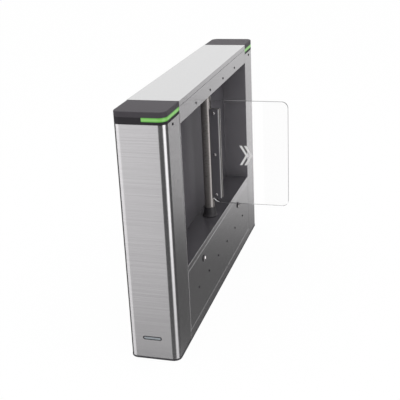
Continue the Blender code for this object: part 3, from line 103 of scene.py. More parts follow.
# Wing and its clamp
OUTER_CORNER = 0.027
INNER_CORNER = 0.042
WING_EDGE = 0.0008
MACHINED_EDGE = 0.0004
# The strip beside the clamp plate is drawn this much narrower than its solid
STRIP_TRIM = 0.0018

# Two plain arrows of white film on the wing's entrance face, with a hair's gap behind the film
ARROWS = 2
ARROW_START = 0.190
ARROW_HEIGHT = 0.6095
ARROW_HALF = 0.0435
ARROW_REACH = 0.026
ARROW_BAR = 0.011
ARROW_PITCH = 0.020
FILM_BACK = 0.00001
FILM_THICK = 0.0001

# Infrared eyes: four in the band, six in the door; radius and height pairs of the domed lens
BAND_EYES = 4
DOOR_EYES = 6
STRIP_END = 0.013
NOSE = 0.0042
LENS_PROFILE = [(NOSE, 0.0), (NOSE, 0.0012), (0.93 * NOSE, 0.0020), (0.75 * NOSE, 0.0027),
                (0.45 * NOSE, 0.0031), (0.12 * NOSE, 0.0033)]
RIM_BORE = 0.00462
RIM_RADIUS = 0.0057
RIM_HEIGHT = 0.0007

# Door locks: dished bezel and black rubber ring, which also paints the shadow round the lock
LOCK_HEIGHT = 0.257
DISH_BACK = 0.0008
DISH_RADIUS = 0.0090
BEZEL_RISE = 0.0020
RING_BORE = 0.0127
RING_RADIUS = 0.0146
RING_HEIGHT = 0.0042

# Blank plate low on the front: half sizes, then how far its back and front stand proud of the steel
PLATE_X = -0.005
PLATE_Z = 0.091
PLATE_HALF = (0.038, 0.0078)
FIELD_HALF = (0.0335, 0.0040)
PLATE_DEPTH = (-0.0005, 0.0001)
FIELD_DEPTH = (0.00005, 0.00018)

# Equipment behind the door: face of the control board, and the heights between its kinds of fittings
SMALL_EDGE = 0.0002
BOARD_FACE = -0.0818
BOARD_LEVELS = (0.17, 0.22)
# Cooling rings round the motor, the first one above the motor's foot
RIBS = 9
RIB_BORE = 0.0262
RIB_RADIUS = 0.0284
RIB_THICK = 0.0024
RIB_START = 0.038
RIB_PITCH = 0.0066
# Outline of a screw head as shares of its radius and height, with the drive hole in the middle
HEAD_SHARES = ((1.0, 0.0), (1.0, 0.6), (0.86, 1.0), (0.45, 1.0), (0.40, 0.45), (0.02, 0.40))
# Head radius and height, first place, pitch along Y and number
SCREW_ROWS = {
    "board_connector_screws": (0.0017, 0.0006, (-0.0698, -0.2690, 0.2420), 0.0083, 14),
    "terminal_screws_lower": (0.0026, 0.0008, (-0.0456, 0.1981, 0.1725), 0.0085, 10),
    "terminal_screws_upper": (0.0026, 0.0008, (-0.0456, 0.1981, 0.1875), 0.0085, 10),
    "plate_screws_lower": (0.0042, 0.0024, (-0.0897, -0.4800, 0.0870), 0.16, 7),
    "plate_screws_upper": (0.0042, 0.0024, (-0.0897, -0.4800, 0.2730), 0.16, 7),
    "supply_screws": (0.0024, 0.0009, (-0.0514, -0.4700, 0.1320), 0.0205, 7),
}
# Solids that are shown as they are with their edges broken by a real radius
INSIDE_EDGES = {
    "base_plate": 0.0006, "left_top_rail": 0.0006, "right_top_rail": 0.0006, "recess_back": 0.0005,
    "recess_shelf": 0.0005, "recess_ceiling": 0.0005, "drive_shelf": 0.0005, "shaft_collar": 0.0010,
    "lower_bearing_housing": 0.0006, "upper_bearing_housing": 0.0006, "upper_bridge": 0.0006,
    "drive_plate": 0.0005, "gearmotor": 0.0006, "position_sensor": 0.0004, "equipment_plate": 0.0005,
    "eye_rail": 0.0005, "power_supply": 0.0006, "terminal_rail": 0.0003, "terminal_blocks": 0.0003,
    "position_disc": 0.0002, "shaft_nut": 0.0004, "front_lock_plug": 0.0003, "rear_lock_plug": 0.0003,
    "clamp_screw_1": 0.0003, "clamp_screw_2": 0.0003, "clamp_screw_3": 0.0003,
}

# Studio: floor, even light, one soft box and cards that only reflections see
FLOOR_HALF = 30.0
# The rest of the floor that the camera sees is matt and keeps the shadow
FLOOR_GLOW = 0.96
SOFT_LEVEL = 1.0
LAMP_PLACE = (0.5, -0.6, 3.6)
LAMP_AIM = (0, 0, 0.5)
LAMP_SIZE = 3.0
LAMP_POWER = 35
CARD_TINT = "fffeff"
# A card's levels are kept as shares of this one, because a colour ramp ends at white
BRIGHTEST = 4.0
# Metal seen through the clear wing shows its cards this much brighter
BEHIND_WING = 1.32
CARD_DISTANCE = 6.0
CARD_FOOT = -4.2
CARD_HEAD = 1.6
FADE_FOOT = -3.6
FADE_HEAD = 0.4
STRIP_FOOT = 1.7
STRIP_HEAD = 2.8
OVERHEAD_HALF = 6.0
OVERHEAD_HEIGHT = 5.0
OVERHEAD_LEVEL = 1.15
# Cards round the set: headings in degrees from -Y towards +X, then the brightness at shares of their
# fade, where 1 is white, and the heights of a card that differ from the others'
CARDS = (
    ("left_soft_box", -86, -38, ((0.0, 1.3), (1.0, 1.8))),
    ("front_left_floor", -37, -14, ((0.0, 0.14), (0.05, 0.58), (0.2, 0.86), (0.5, 1.12), (1.0, 1.40))),
    ("front_flag", -9, 46, ((0.0, 0.13), (1.0, 0.20))),
    ("right_soft_box", 52, 85, ((0.0, 1.05), (0.1, 1.3), (0.33, 1.6), (0.45, 2.0), (0.78, 2.45),
                                (0.9, 1.4), (1.0, 1.1))),
    ("right_flag", 90, 151, ((0.0, 0.11), (1.0, 0.20))),
    ("rear_floor", 151, 203, ((0.0, 0.16), (0.22, 0.16), (0.3, 0.22), (0.36, 0.32), (0.41, 0.44),
                              (0.47, 0.58), (0.57, 0.67), (0.7, 0.71), (0.85, 0.82), (1.0, 0.86))),
    ("left_flag", 204, 272, ((0.0, 0.08), (1.0, 0.16))),
    ("rear_high_strip", 125, 190, ((0.0, 1.5), (1.0, 1.5)), STRIP_FOOT, STRIP_HEAD),
)


def linear(colour):
    """sRGB hex to linear RGBA."""
    parts = [int(colour[i:i + 2], 16) / 255 for i in (0, 2, 4)]
    return tuple(((c + 0.055) / 1.055) ** 2.4 if c > 0.04045 else c / 12.92 for c in parts) + (1.0,)


def open_socket(sockets, key):
    """Socket by its number, or the first open one of that name, or the first open one of all."""
    if isinstance(key, int):
        return sockets[key]
    for socket in sockets:
        if socket.enabled and key in (None, socket.name):
            return socket
    return None


def set_stops(scale, stops):
    """Fill a colour ramp from (position, hex colour or grey level) stops."""
    while len(scale.elements) < len(stops):
        scale.elements.new(1.0)
    for element, (position, colour) in zip(scale.elements, stops):
        element.position = position
        element.color = linear(colour) if isinstance(colour, str) else (colour, colour, colour, 1.0)


def add(tree, kind, settings=None, links=None):
    """One node in a tree, with its settings and with links into its sockets."""
    item = tree.nodes.new(kind)
    for key, value in (settings or {}).items():
        socket = open_socket(item.inputs, key)
        if key == "stops":
            set_stops(item.color_ramp, value)
        elif key == "fade":
            item.color_ramp.interpolation = value
        elif socket is None or hasattr(item, str(key)):
            setattr(item, key, value)
        else:
            socket.default_value = value
    for key, source in (links or {}).items():
        start = source if isinstance(source, bpy.types.NodeSocket) else open_socket(source.outputs, None)
        tree.links.new(start, open_socket(item.inputs, key))
    return item


# Materials


def material(name, **shader_values):
    """Empty Principled material; returns it with its tree, shader and object coordinates."""
    item = bpy.data.materials.new(name)
    item.use_nodes = True
    tree = item.node_tree
    shader = tree.nodes["Principled BSDF"]
    for key, value in shader_values.items():
        shader.inputs[key.replace("_", " ")].default_value = value
    place = add(tree, "ShaderNodeTexCoord").outputs["Object"]
    return item, tree, shader, place


def follow(tree, shader, pattern, tones, rough, fade="EASE", ends=(0.3, 0.7), dust=None):
    """Colour follows a pattern from dark tone to pale; so does roughness, unless a finer dust is given."""
    tone = add(tree, "ShaderNodeValToRGB", {"fade": fade, "stops": tuple(zip(ends, tones))}, {"Fac": pattern})
    dull = add(tree, "ShaderNodeMapRange", {"To Min": rough[0], "To Max": rough[1]},
               {"Value": pattern if dust is None else dust})
    tree.links.new(tone.outputs["Color"], shader.inputs["Base Color"])
    tree.links.new(dull.outputs["Result"], shader.inputs["Roughness"])


def grained(name, grains, tones, rough, detail=3.0, relief=None, **shader_values):
    """Material with one fine grain, in grains a metre along X, Y and Z, and its relief in metres."""
    item, tree, shader, place = material(name, **shader_values)
    sized = add(tree, "ShaderNodeMapping", {"Scale": grains}, {"Vector": place})
    grain = add(tree, "ShaderNodeTexNoise", {"Scale": 1.0, "Detail": detail, "Roughness": GRAIN_SOFTNESS},
                {"Vector": sized})
    follow(tree, shader, grain, tones, rough)
    if relief:
        skin_relief = add(tree, "ShaderNodeBump", {"Strength": relief[1], "Distance": relief[0]},
                          {"Height": grain})
        tree.links.new(skin_relief.outputs["Normal"], shader.inputs["Normal"])
    return item


def brushed_stainless(name, line_grains, streak_grains, tones=("a7a6a7", "c1c0c1")):
    """Stainless steel 304, belt-ground to a No. 4 finish: fine straight lines that catch the light.

    The real lines are 0.1 to 0.3 mm apart; a second layer of 2 to 5 mm bands is drawn so that the
    grain also shows from across a room."""
    item, tree, shader, place = material(name, Metallic=1.0)
    line_place = add(tree, "ShaderNodeMapping", {"Scale": line_grains}, {"Vector": place})
    lines = add(tree, "ShaderNodeTexNoise", {"Scale": 1.0, "Detail": 4.0, "Roughness": GRAIN_SOFTNESS},
                {"Vector": line_place})
    streak_place = add(tree, "ShaderNodeMapping", {"Scale": streak_grains}, {"Vector": place})
    streaks = add(tree, "ShaderNodeTexNoise", {"Scale": 1.0, "Detail": 3.0, "Roughness": 0.75},
                  {"Vector": streak_place})
    both = add(tree, "ShaderNodeMix", {"data_type": "FLOAT", "Factor": STREAK_SHARE},
               {"A": lines.outputs["Fac"], "B": streaks.outputs["Fac"]})
    follow(tree, shader, both, tones, (0.17, 0.25), "LINEAR")
    scratches = add(tree, "ShaderNodeBump", {"Strength": 0.5, "Distance": 0.00002}, {"Height": lines})
    tree.links.new(scratches.outputs["Normal"], shader.inputs["Normal"])
    return item


def turned_stainless(name, tones, metal, rough):
    """Stainless 304, turned and buffed: bright, with faint turning lines round the axis; a metal share below
    1 paints part of its reflection as diffuse colour.
    """
    return grained(name, (60.0, 60.0, 2500.0), tones, rough, Metallic=metal)


def zinc_plated_steel():
    """Cold-rolled steel, blue-passivated zinc: soft crystal mottling with a faint cool sheen."""
    item, tree, shader, place = material("zinc_plated_steel", Metallic=1.0)
    spangle = add(tree, "ShaderNodeTexVoronoi", {"Scale": 220.0, "feature": "F1"}, {"Vector": place})
    cloud = add(tree, "ShaderNodeTexNoise", {"Scale": 30.0, "Detail": 3.0, "Roughness": GRAIN_SOFTNESS},
                {"Vector": place})
    both = add(tree, "ShaderNodeMix", {"data_type": "FLOAT", "Factor": 0.6},
               {"A": spangle.outputs["Distance"], "B": cloud.outputs["Fac"]})
    follow(tree, shader, both, ("9aa0a4", "bcc0c3"), (0.34, 0.5), ends=(0.2, 0.8))
    return item


def tinted_acrylic(name, gloss, rough, tones):
    """Cast acrylic (PMMA), smoke tinted: even dark grey, satin on the walls and glossier on the shelf."""
    item, tree, shader, place = material(name, IOR=1.49, Specular_IOR_Level=gloss)
    cloud = add(tree, "ShaderNodeTexNoise", {"Scale": 4.0, "Detail": 2.0, "Roughness": GRAIN_SOFTNESS},
                {"Vector": place})
    dust = add(tree, "ShaderNodeTexNoise", {"Scale": 700.0, "Detail": 2.0, "Roughness": GRAIN_SOFTNESS},
               {"Vector": place})
    follow(tree, shader, cloud, tones, rough, dust=dust)
    return item


def clear_acrylic():
    """Cast acrylic (PMMA), clear with fire-polished faces: only its gloss shows on the flat.

    Its IOR is set below the real 1.49, so that white behind the wing stays white."""
    item, tree, shader, place = material("clear_cast_acrylic", IOR=1.25, Transmission_Weight=1.0,
                                         Specular_IOR_Level=0.12)
    shader.inputs["Base Color"].default_value = linear("ffffff")
    haze = add(tree, "ShaderNodeTexNoise", {"Scale": 300.0, "Detail": 2.0, "Roughness": GRAIN_SOFTNESS},
               {"Vector": place})
    dull = add(tree, "ShaderNodeMapRange", {"To Min": 0.002, "To Max": 0.008}, {"Value": haze})
    tree.links.new(dull.outputs["Result"], shader.inputs["Roughness"])
    return item


def moulded_abs(name, tones):
    """ABS, injection moulded against a spark-eroded tool: even dark grey with a fine matt grain."""
    return grained(name, (1600.0, 1600.0, 1600.0), tones, (0.38, 0.5), 2.0, (0.00008, 0.5), IOR=1.52,
                   Specular_IOR_Level=0.05)


def green_diffuser(low, high):
    """Opal polycarbonate lit by green LEDs: brightest along the middle of its height."""
    item, tree, shader, place = material("green_opal_polycarbonate", IOR=1.58, Roughness=0.35,
                                         Emission_Strength=0.55)
    height = add(tree, "ShaderNodeSeparateXYZ", links={"Vector": place}).outputs["Z"]
    level = add(tree, "ShaderNodeMapRange", {"From Min": low, "From Max": high}, {"Value": height})
    tone = add(tree, "ShaderNodeValToRGB",
               {"fade": "EASE", "stops": ((0.0, "55a53c"), (0.3, "79bd58"), (0.5, "86c56a"),
                                          (0.7, "74bb52"), (1.0, "58a63f"))}, {"Fac": level})
    haze = add(tree, "ShaderNodeTexNoise", {"Scale": 90.0, "Detail": 2.0, "Roughness": GRAIN_SOFTNESS},
               {"Vector": place})
    mixed = add(tree, "ShaderNodeMix", {"data_type": "RGBA", "blend_type": "MULTIPLY", "Factor": 0.12},
                {"A": tone.outputs["Color"], "B": haze.outputs["Color"]})
    green = open_socket(mixed.outputs, "Result")
    deep = add(tree, "ShaderNodeMix", {"data_type": "RGBA", "blend_type": "MULTIPLY", "Factor": 1.0,
                                       "B": linear("bcbcbc")}, {"A": green})
    tree.links.new(open_socket(deep.outputs, "Result"), shader.inputs["Base Color"])
    tree.links.new(green, shader.inputs["Emission Color"])
    return item


def solder_mask():
    """Glass-epoxy board under green solder mask: semi-gloss, with the laminate's faint weave."""
    item, tree, shader, place = material("green_solder_mask", IOR=1.55)
    weave = add(tree, "ShaderNodeTexWave", {"Scale": 260.0, "Distortion": 0.6}, {"Vector": place})
    follow(tree, shader, weave.outputs["Fac"], ("28603c", "33724a"), (0.3, 0.42))
    return item


STAINLESS = brushed_stainless("brushed_stainless_304_level", (5.0, 5.0, 2400.0), (2.0, 2.0, 420.0))
# Same steel for the cover's top, in paler tones that are painted light from above
STAINLESS_TOP_PAINTED_LIGHT = brushed_stainless("brushed_stainless_304_lengthwise_painted_light", (2400.0, 5.0, 5.0),
                                  (420.0, 2.0, 2.0), ("cccccd", "dadada"))
POLISHED = turned_stainless("polished_stainless_304", ("bcb9b9", "cccaca"), 1.0, (0.10, 0.18))
# Shaft steel with a metal share of 0.66: its diffuse grey is a painted reflection, standing in for what the
# dark recess hides
SATIN_TUBE = turned_stainless("satin_stainless_tube_304", ("8a8684", "989492"), 0.66, (0.24, 0.32))
ZINC = zinc_plated_steel()
# Black polyester powder coat: low gloss with a fine orange-peel skin
POWDER_COAT = grained("black_powder_coat", (900.0, 900.0, 900.0), ("2c2b2e", "37363a"), (0.42, 0.58), 2.0,
                      (0.0001, 0.4))
SMOKE_ACRYLIC = tinted_acrylic("smoke_tinted_acrylic", 0.1, (0.3, 0.4), ("545256", "59575b"))
SMOKE_SHELF = tinted_acrylic("smoke_tinted_acrylic_glossy", 0.3, (0.10, 0.18), ("4a484c", "4f4d51"))
# Same acrylic in a paler tone for the recess ends: painted light against the shade there
LINING_PAINTED_LIGHT = tinted_acrylic("smoke_tinted_acrylic_ends_painted_light", 0.1, (0.3, 0.4), ("6b696d", "706e72"))
CLEAR = clear_acrylic()
# Saw-cut and polished edge of clear acrylic, satin; its grey colour is painted shade for the dark look that
# refraction gives the edge
CLEAR_EDGE = grained("acrylic_polished_edge", (900.0, 900.0, 900.0), ("444648", "565859"), (0.15, 0.3),
                     2.0, IOR=1.49, Transmission_Weight=0.5, Specular_IOR_Level=0.15)
ABS = moulded_abs("moulded_abs_dark_grey", ("413e42", "484549"))
ABS_BLACK = moulded_abs("moulded_abs_black_grey", ("2c2a2d", "343235"))
# EPDM rubber, compression moulded: near black with a soft, slightly bloomed skin
RUBBER = grained("epdm_rubber", (260.0, 260.0, 260.0), ("2b292c", "39373a"), (0.42, 0.6), IOR=1.5)
SOLDER_MASK = solder_mask()
# Hobbed carbon steel, lightly oiled: grey with cutter marks across the teeth
STEEL = grained("hobbed_steel", (200.0, 200.0, 3000.0), ("83868a", "999da0"), (0.24, 0.38), Metallic=1.0)
# Extruded aluminium, sulphuric anodised dark grey: satin, with die lines along its length
ANODISED = grained("anodised_aluminium_dark", (1500.0, 1500.0, 8.0), ("58565a", "646268"), (0.34, 0.46),
                   Metallic=0.25)
# Extruded aluminium, mill finish: pale metal with fine lines along the extrusion; its low metal share shows
# the pale colour diffusely, a painted sheen
ALUMINIUM = grained("mill_finish_aluminium", (1500.0, 1500.0, 10.0), ("c9c7c7", "dad8d8"), (0.24, 0.36),
                    Metallic=0.45)
# Infrared-pass polycarbonate: looks black and glossy, with a moulded skin
SENSOR = grained("infrared_pass_polycarbonate", (500.0, 500.0, 500.0), ("151317", "1e1c21"), (0.12, 0.22),
                 2.0, IOR=1.58, Specular_IOR_Level=0.2)
# Glass-filled polyamide, moulded: matt blue-grey with swirls from the filler
POLYAMIDE = grained("glass_filled_polyamide", (160.0, 160.0, 160.0), ("80868b", "939a9f"), (0.45, 0.6),
                    4.0, IOR=1.53)
# White cast vinyl film, cut to shape: flat opaque white with a satin face
FILM = grained("white_vinyl_film", (900.0, 900.0, 900.0), ("eceaea", "f6f5f5"), (0.45, 0.45), 2.0, IOR=1.5)
LIGHT_LOW, LIGHT_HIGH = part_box("front_light")
GREEN = green_diffuser(LIGHT_LOW.z, LIGHT_HIGH.z)

# Material of each slot in the record
SLOT_MATERIALS = {
    "brushed_stainless": STAINLESS, "polished_stainless": POLISHED, "zinc_plated_steel": ZINC,
    "black_painted_steel": POWDER_COAT, "dark_acrylic": SMOKE_ACRYLIC, "clear_acrylic": CLEAR,
    "grey_moulding": ABS, "collar_rubber": RUBBER, "green_diffuser": GREEN, "circuit_board": SOLDER_MASK,
    "gear_steel": STEEL, "clamp_grey": ANODISED, "aluminium_trim": ALUMINIUM, "sensor_window": SENSOR,
    "terminal_grey": POLYAMIDE,
}
NODE_SLOTS = {row["node"]: row["material_slot"] for row in frame["record"]["subparts"]}
NODE_BODIES = {}
for body, members in frame["record"]["behaviour"]["bodies"].items():
    for member in members:
        NODE_BODIES[member] = body


# Shapes


def arc(u, v, radius, start, stop, steps=CORNER_STEPS):
    """Points on an arc, with angles in degrees."""
    angles = [math.radians(start + (stop - start) * i / steps) for i in range(steps + 1)]
    return [(u + radius * math.cos(a), v + radius * math.sin(a)) for a in angles]


def rounded(u_span, v_span, right, left):
    """Rectangle with round corners, of one radius on the right and one on the left."""
    (start, stop), (low, high) = u_span, v_span
    points = arc(stop - right, high - right, right, 0, 90)
    points += arc(start + left, high - left, left, 90, 180)
    points += arc(start + left, low + left, left, 180, 270)
    return points + arc(stop - right, low + right, right, 270, 360)


def along(axis, u, v, w):
    """Point from two cross coordinates and one along the X or Z axis."""
    return Vector((w, u, v)) if axis == "X" else Vector((u, v, w))


def skin(rings, closed=False):
    """Mesh over rings of points: flat ends, or a closed ring of rings."""
    mesh = bmesh.new()
    rows = [[mesh.verts.new(point) for point in ring] for ring in rings]
    pairs = list(zip(rows, rows[1:]))
    if closed:
        pairs.append((rows[-1], rows[0]))
    else:
        mesh.faces.new(rows[0])
        mesh.faces.new(rows[-1])
    for near, far in pairs:
        for i in range(len(near)):
            j = (i + 1) % len(near)
            mesh.faces.new((near[i], near[j], far[j], far[i]))
    bmesh.ops.recalc_face_normals(mesh, faces=mesh.faces)
    return mesh


def bar(outline, low, high):
    """Straight piece along Y with one outline in X and Z."""
    return skin([[Vector((x, y, z)) for x, z in outline] for y in (low, high)])


def lathe(profile, centre, axis="X", ring=False, steps=TURN_STEPS):
    """Round piece from (radius, place along the axis) pairs."""
    rings = []
    for radius, place in profile:
        circle = arc(0, 0, radius, 0, 360 * (steps - 1) / steps, steps - 1)
        rings.append([along(axis, u, v, place) + Vector(centre) for u, v in circle])
    return skin(rings, closed=ring)


def settle(item):
    """Modifiers worked into a plain mesh."""
    bpy.context.view_layer.update()
    graph = bpy.context.evaluated_depsgraph_get()
    mesh = bpy.data.meshes.new_from_object(item.evaluated_get(graph))
    item.modifiers.clear()
    item.data = mesh
    return item


def smooth(item, edge=0.0):
    """Round every sharp edge by a real radius, and shade flat faces flat and round ones round."""
    item.data.shade_smooth()
    if edge:
        modifier = item.modifiers.new("edge", "BEVEL")
        modifier.width = edge
        modifier.segments = EDGE_STEPS
        modifier.limit_method = "ANGLE"
        modifier.angle_limit = SHARP
    else:
        item.data.set_sharp_from_angle(angle=SHARP)
    weigh = item.modifiers.new("shading", "WEIGHTED_NORMAL")
    weigh.keep_sharp = True
    return settle(item)


def put_in(name, data):
    """Object with its mesh, lamp or camera, linked into the scene."""
    item = bpy.data.objects.new(name, data)
    bpy.context.scene.collection.objects.link(item)
    return item


def new_object(name, mesh):
    """Object from a finished bmesh."""
    data = bpy.data.meshes.new(name)
    mesh.to_mesh(data)
    mesh.free()
    return put_in(name, data)


def fit_out(item, body, stands_for=()):
    """Put a finished piece on its body, in place of its nodes."""
    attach(item, body)
    if stands_for:
        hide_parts(*stands_for)
    return item


def piece(name, mesh, look, body, stands_for=(), edge=0.0):
    """Finished piece: edges rounded, given its material, and riding on its body."""
    item = new_object(name, mesh)
    item.data.materials.append(look)
    smooth(item, edge)
    return fit_out(item, body, stands_for)


def clean_copy(node):
    """Mesh of a CAD node with its loose triangles joined and its flat faces made whole."""
    mesh = bmesh.new()
    mesh.from_mesh(frame["nodes"][node].data)
    bmesh.ops.remove_doubles(mesh, verts=mesh.verts, dist=MERGE)
    bmesh.ops.dissolve_limit(mesh, angle_limit=SAME_PLANE, verts=mesh.verts, edges=mesh.edges)
    return mesh


def trim(mesh, axis, depth):
    """Take a little off a mesh at the high end of an axis."""
    end = max(corner.co[axis] for corner in mesh.verts)
    for corner in mesh.verts:
        if corner.co[axis] > end - MERGE:
            corner.co[axis] -= depth


def dressed(node, edge, name=None, look=None):
    """CAD node with softened edges, in its slot's material or another."""
    slot = NODE_SLOTS[node]
    return piece(name or node + "_finished", clean_copy(node), look or SLOT_MATERIALS[slot],
                 NODE_BODIES[node], (node,), edge)


def named_inputs(tree, labels):
    """Inputs of a geometry tree; returns the identifier of each by its label."""
    return {label: tree.interface.new_socket(name=label, in_out="INPUT",
                                             socket_type="NodeSocket" + kind).identifier
            for label, kind in labels.items()}


def row_of(item, count, start, step, look):
    """Copies of a piece in a straight row, by a node tree with named sizes."""
    tree = bpy.data.node_groups.new(item.name + "_row", "GeometryNodeTree")
    sockets = named_inputs(tree, {"Piece": "Geometry", "Count": "Int", "Start": "Vector",
                                  "Step": "Vector", "Finish": "Material"})
    tree.interface.new_socket(name="Row", in_out="OUTPUT", socket_type="NodeSocketGeometry")
    source = add(tree, "NodeGroupInput")
    line = add(tree, "GeometryNodeMeshLine", {"mode": "OFFSET"},
               {"Count": source.outputs["Count"], "Start Location": source.outputs["Start"],
                "Offset": source.outputs["Step"]})
    copies = add(tree, "GeometryNodeInstanceOnPoints", links={"Points": line,
                                                               "Instance": source.outputs["Piece"]})
    real = add(tree, "GeometryNodeRealizeInstances", links={"Geometry": copies})
    finish = add(tree, "GeometryNodeSetMaterial", links={"Geometry": real,
                                                         "Material": source.outputs["Finish"]})
    add(tree, "NodeGroupOutput", links={0: finish})
    modifier = item.modifiers.new("row", "NODES")
    modifier.node_group = tree
    modifier[sockets["Count"]] = count
    modifier[sockets["Start"]] = start
    modifier[sockets["Step"]] = step
    modifier[sockets["Finish"]] = look
    return settle(item)


def row_piece(name, mesh, look, body, count, start, step, stands_for=(), edge=0.0):
    """Row of like pieces as one finished piece."""
    item = new_object(name, mesh)
    smooth(item, edge)
    row_of(item, count, start, step, look)
    return fit_out(item, body, stands_for)


# End columns: a sheet folded round a plan with two wide corners, extruded up


def column_tree():
    """Tree for an end column: plan curve, wide outer corners, wall, height and one eye hole."""
    tree = bpy.data.node_groups.new("folded_column", "GeometryNodeTree")
    sockets = named_inputs(tree, {
        "Width": "Float", "Reach": "Float", "Corner": "Float", "Fold": "Float", "Wall": "Float",
        "Height": "Float", "Steps": "Int", "Place": "Vector", "Hole Place": "Vector",
        "Hole Radius": "Float", "Hole Depth": "Float", "Finish": "Material",
    })
    tree.interface.new_socket(name="Column", in_out="OUTPUT", socket_type="NodeSocketGeometry")
    sizes = add(tree, "NodeGroupInput").outputs

    def plan(inset):
        """Closed plan curve, drawn in by the inset, with the wide corners on one side."""
        less = add(tree, "ShaderNodeMath", {"operation": "MULTIPLY", 1: 2.0}, {0: inset}).outputs[0]
        wide = add(tree, "ShaderNodeMath", {"operation": "SUBTRACT"}, {0: sizes["Width"], 1: less})
        deep = add(tree, "ShaderNodeMath", {"operation": "SUBTRACT"}, {0: sizes["Reach"], 1: less})
        box = add(tree, "GeometryNodeCurvePrimitiveQuadrilateral", {"mode": "RECTANGLE"},
                  {"Width": wide, "Height": deep})
        index = add(tree, "GeometryNodeInputIndex")
        second = add(tree, "ShaderNodeMath", {"operation": "LESS_THAN", 1: 1.5}, {0: index})
        big = add(tree, "ShaderNodeMath", {"operation": "SUBTRACT"}, {0: sizes["Corner"], 1: inset})
        radius = add(tree, "ShaderNodeMix", {"data_type": "FLOAT"},
                     {"Factor": second, "A": sizes["Fold"], "B": big})
        return add(tree, "GeometryNodeFilletCurve", {"mode": "POLY"},
                   {"Curve": box, "Radius": radius, "Count": sizes["Steps"]})

    nothing = add(tree, "ShaderNodeMath", {"operation": "SUBTRACT"}, {0: sizes["Wall"], 1: sizes["Wall"]})
    outer = plan(nothing)
    inner = plan(sizes["Wall"])
    both = add(tree, "GeometryNodeJoinGeometry")
    tree.links.new(inner.outputs[0], both.inputs[0])
    tree.links.new(outer.outputs[0], both.inputs[0])
    face = add(tree, "GeometryNodeFillCurve", {"mode": "NGONS"}, {"Curve": both})
    foot = add(tree, "GeometryNodeFlipFaces", links={"Mesh": face})
    up = add(tree, "ShaderNodeCombineXYZ", links={"Z": sizes["Height"]})
    body_mesh = add(tree, "GeometryNodeExtrudeMesh", {"mode": "FACES", "Individual": False},
                    {"Mesh": face, "Offset": up})
    whole = add(tree, "GeometryNodeJoinGeometry")
    tree.links.new(body_mesh.outputs["Mesh"], whole.inputs[0])
    tree.links.new(foot.outputs[0], whole.inputs[0])
    closed = add(tree, "GeometryNodeMergeByDistance", {"Distance": MERGE}, {"Geometry": whole})
    placed = add(tree, "GeometryNodeTransform", links={"Geometry": closed, "Translation": sizes["Place"]})
    drill = add(tree, "GeometryNodeMeshCylinder", {"Vertices": SMALL_TURN_STEPS},
                {"Radius": sizes["Hole Radius"], "Depth": sizes["Hole Depth"]})
    sideways = add(tree, "GeometryNodeTransform", {"Rotation": (0.0, math.radians(90), 0.0)},
                   {"Geometry": drill, "Translation": sizes["Hole Place"]})
    holed = add(tree, "GeometryNodeMeshBoolean", {"operation": "DIFFERENCE"}, {"Mesh 1": placed})
    tree.links.new(sideways.outputs[0], holed.inputs["Mesh 2"])
    real = add(tree, "GeometryNodeRealizeInstances", links={"Geometry": holed})
    finish = add(tree, "GeometryNodeSetMaterial", links={"Geometry": real, "Material": sizes["Finish"]})
    add(tree, "NodeGroupOutput", links={0: finish})
    return tree, sockets


def column(end, side, tree, sockets):
    """End column of folded stainless sheet."""
    low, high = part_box(end + "_column")
    eye_low, eye_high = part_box(end + "_column_eye")
    eye_middle = (eye_low + eye_high) / 2
    middle_y = (low.y + high.y) / 2
    name = end + "_column_sheet"
    item = put_in(name, bpy.data.meshes.new(name))
    modifier = item.modifiers.new("column", "NODES")
    modifier.node_group = tree
    values = {
        "Width": high.x - low.x, "Reach": high.y - low.y, "Corner": CORNER_RADIUS, "Fold": FOLD,
        "Wall": SHEET, "Height": high.z - low.z, "Steps": CORNER_STEPS,
        "Place": (0.0, 0.0, low.z),
        "Hole Place": (high.x, side * (eye_middle.y - middle_y), eye_middle.z),
        "Hole Radius": EYE_HOLE, "Hole Depth": HOLE_DEPTH, "Finish": STAINLESS,
    }
    for label, value in values.items():
        modifier[sockets[label]] = value
    settle(item)
    turn = Matrix.Scale(side, 4, (0, 1, 0))
    item.data.transform(Matrix.Translation((0, middle_y, 0)) @ turn)
    if side < 0:
        item.data.flip_normals()
    smooth(item)
    fit_out(item, "cabinet", (end + "_column",))


def build_columns():
    """Both end columns, from one tree."""
    tree, sockets = column_tree()
    for end, side in ENDS:
        column(end, side, tree, sockets)


# End caps


def end_plan(half, near, far, radius, side):
    """Plan of one end: straight at the cabinet, round at the outer corners."""
    points = [(half, near)] + arc(half - radius, far - radius, radius, 0, 90)
    points += arc(radius - half, far - radius, radius, 90, 180) + [(-half, near)]
    return [(x, side * y) for x, y in points]


def cap_lid(end, side):
    """Cap lid: a shallow moulded tray whose top edge is rounded."""
    low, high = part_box(end + "_cap_lid")
    near = min(abs(low.y), abs(high.y))
    far = max(abs(low.y), abs(high.y))
    half = high.x
    levels = [(0.0, low.z)]
    for i in range(LID_ROUND_STEPS + 1):
        turn = math.radians(90 * i / LID_ROUND_STEPS)
        levels.append((LID_ROUND * (1 - math.cos(turn)), high.z - LID_ROUND * (1 - math.sin(turn))))
    rings = []
    for inset, level in levels[::-1]:
        plan = end_plan(half - inset, near + inset, far - inset, CORNER_RADIUS - inset, side)
        rings.append([Vector((x, y, level)) for x, y in plan])
    for level in (low.z, high.z - CAP_WALL):
        plan = end_plan(half - CAP_WALL, near + CAP_WALL, far - CAP_WALL, CORNER_RADIUS - CAP_WALL, side)
        rings.append([Vector((x, y, level)) for x, y in plan])
    piece(end + "_cap_lid_moulding", skin(rings), ABS, "cabinet", (end + "_cap_lid",))


def build_caps():
    """Cap lids, cap bands and light diffusers of both ends."""
    for end, side in ENDS:
        cap_lid(end, side)
        dressed(end + "_cap_band", MOULDED_EDGE, look=ABS_BLACK)
        dressed(end + "_light", MOULDED_EDGE / 2, end + "_light_diffuser")


# Wing, its shaft and clamp


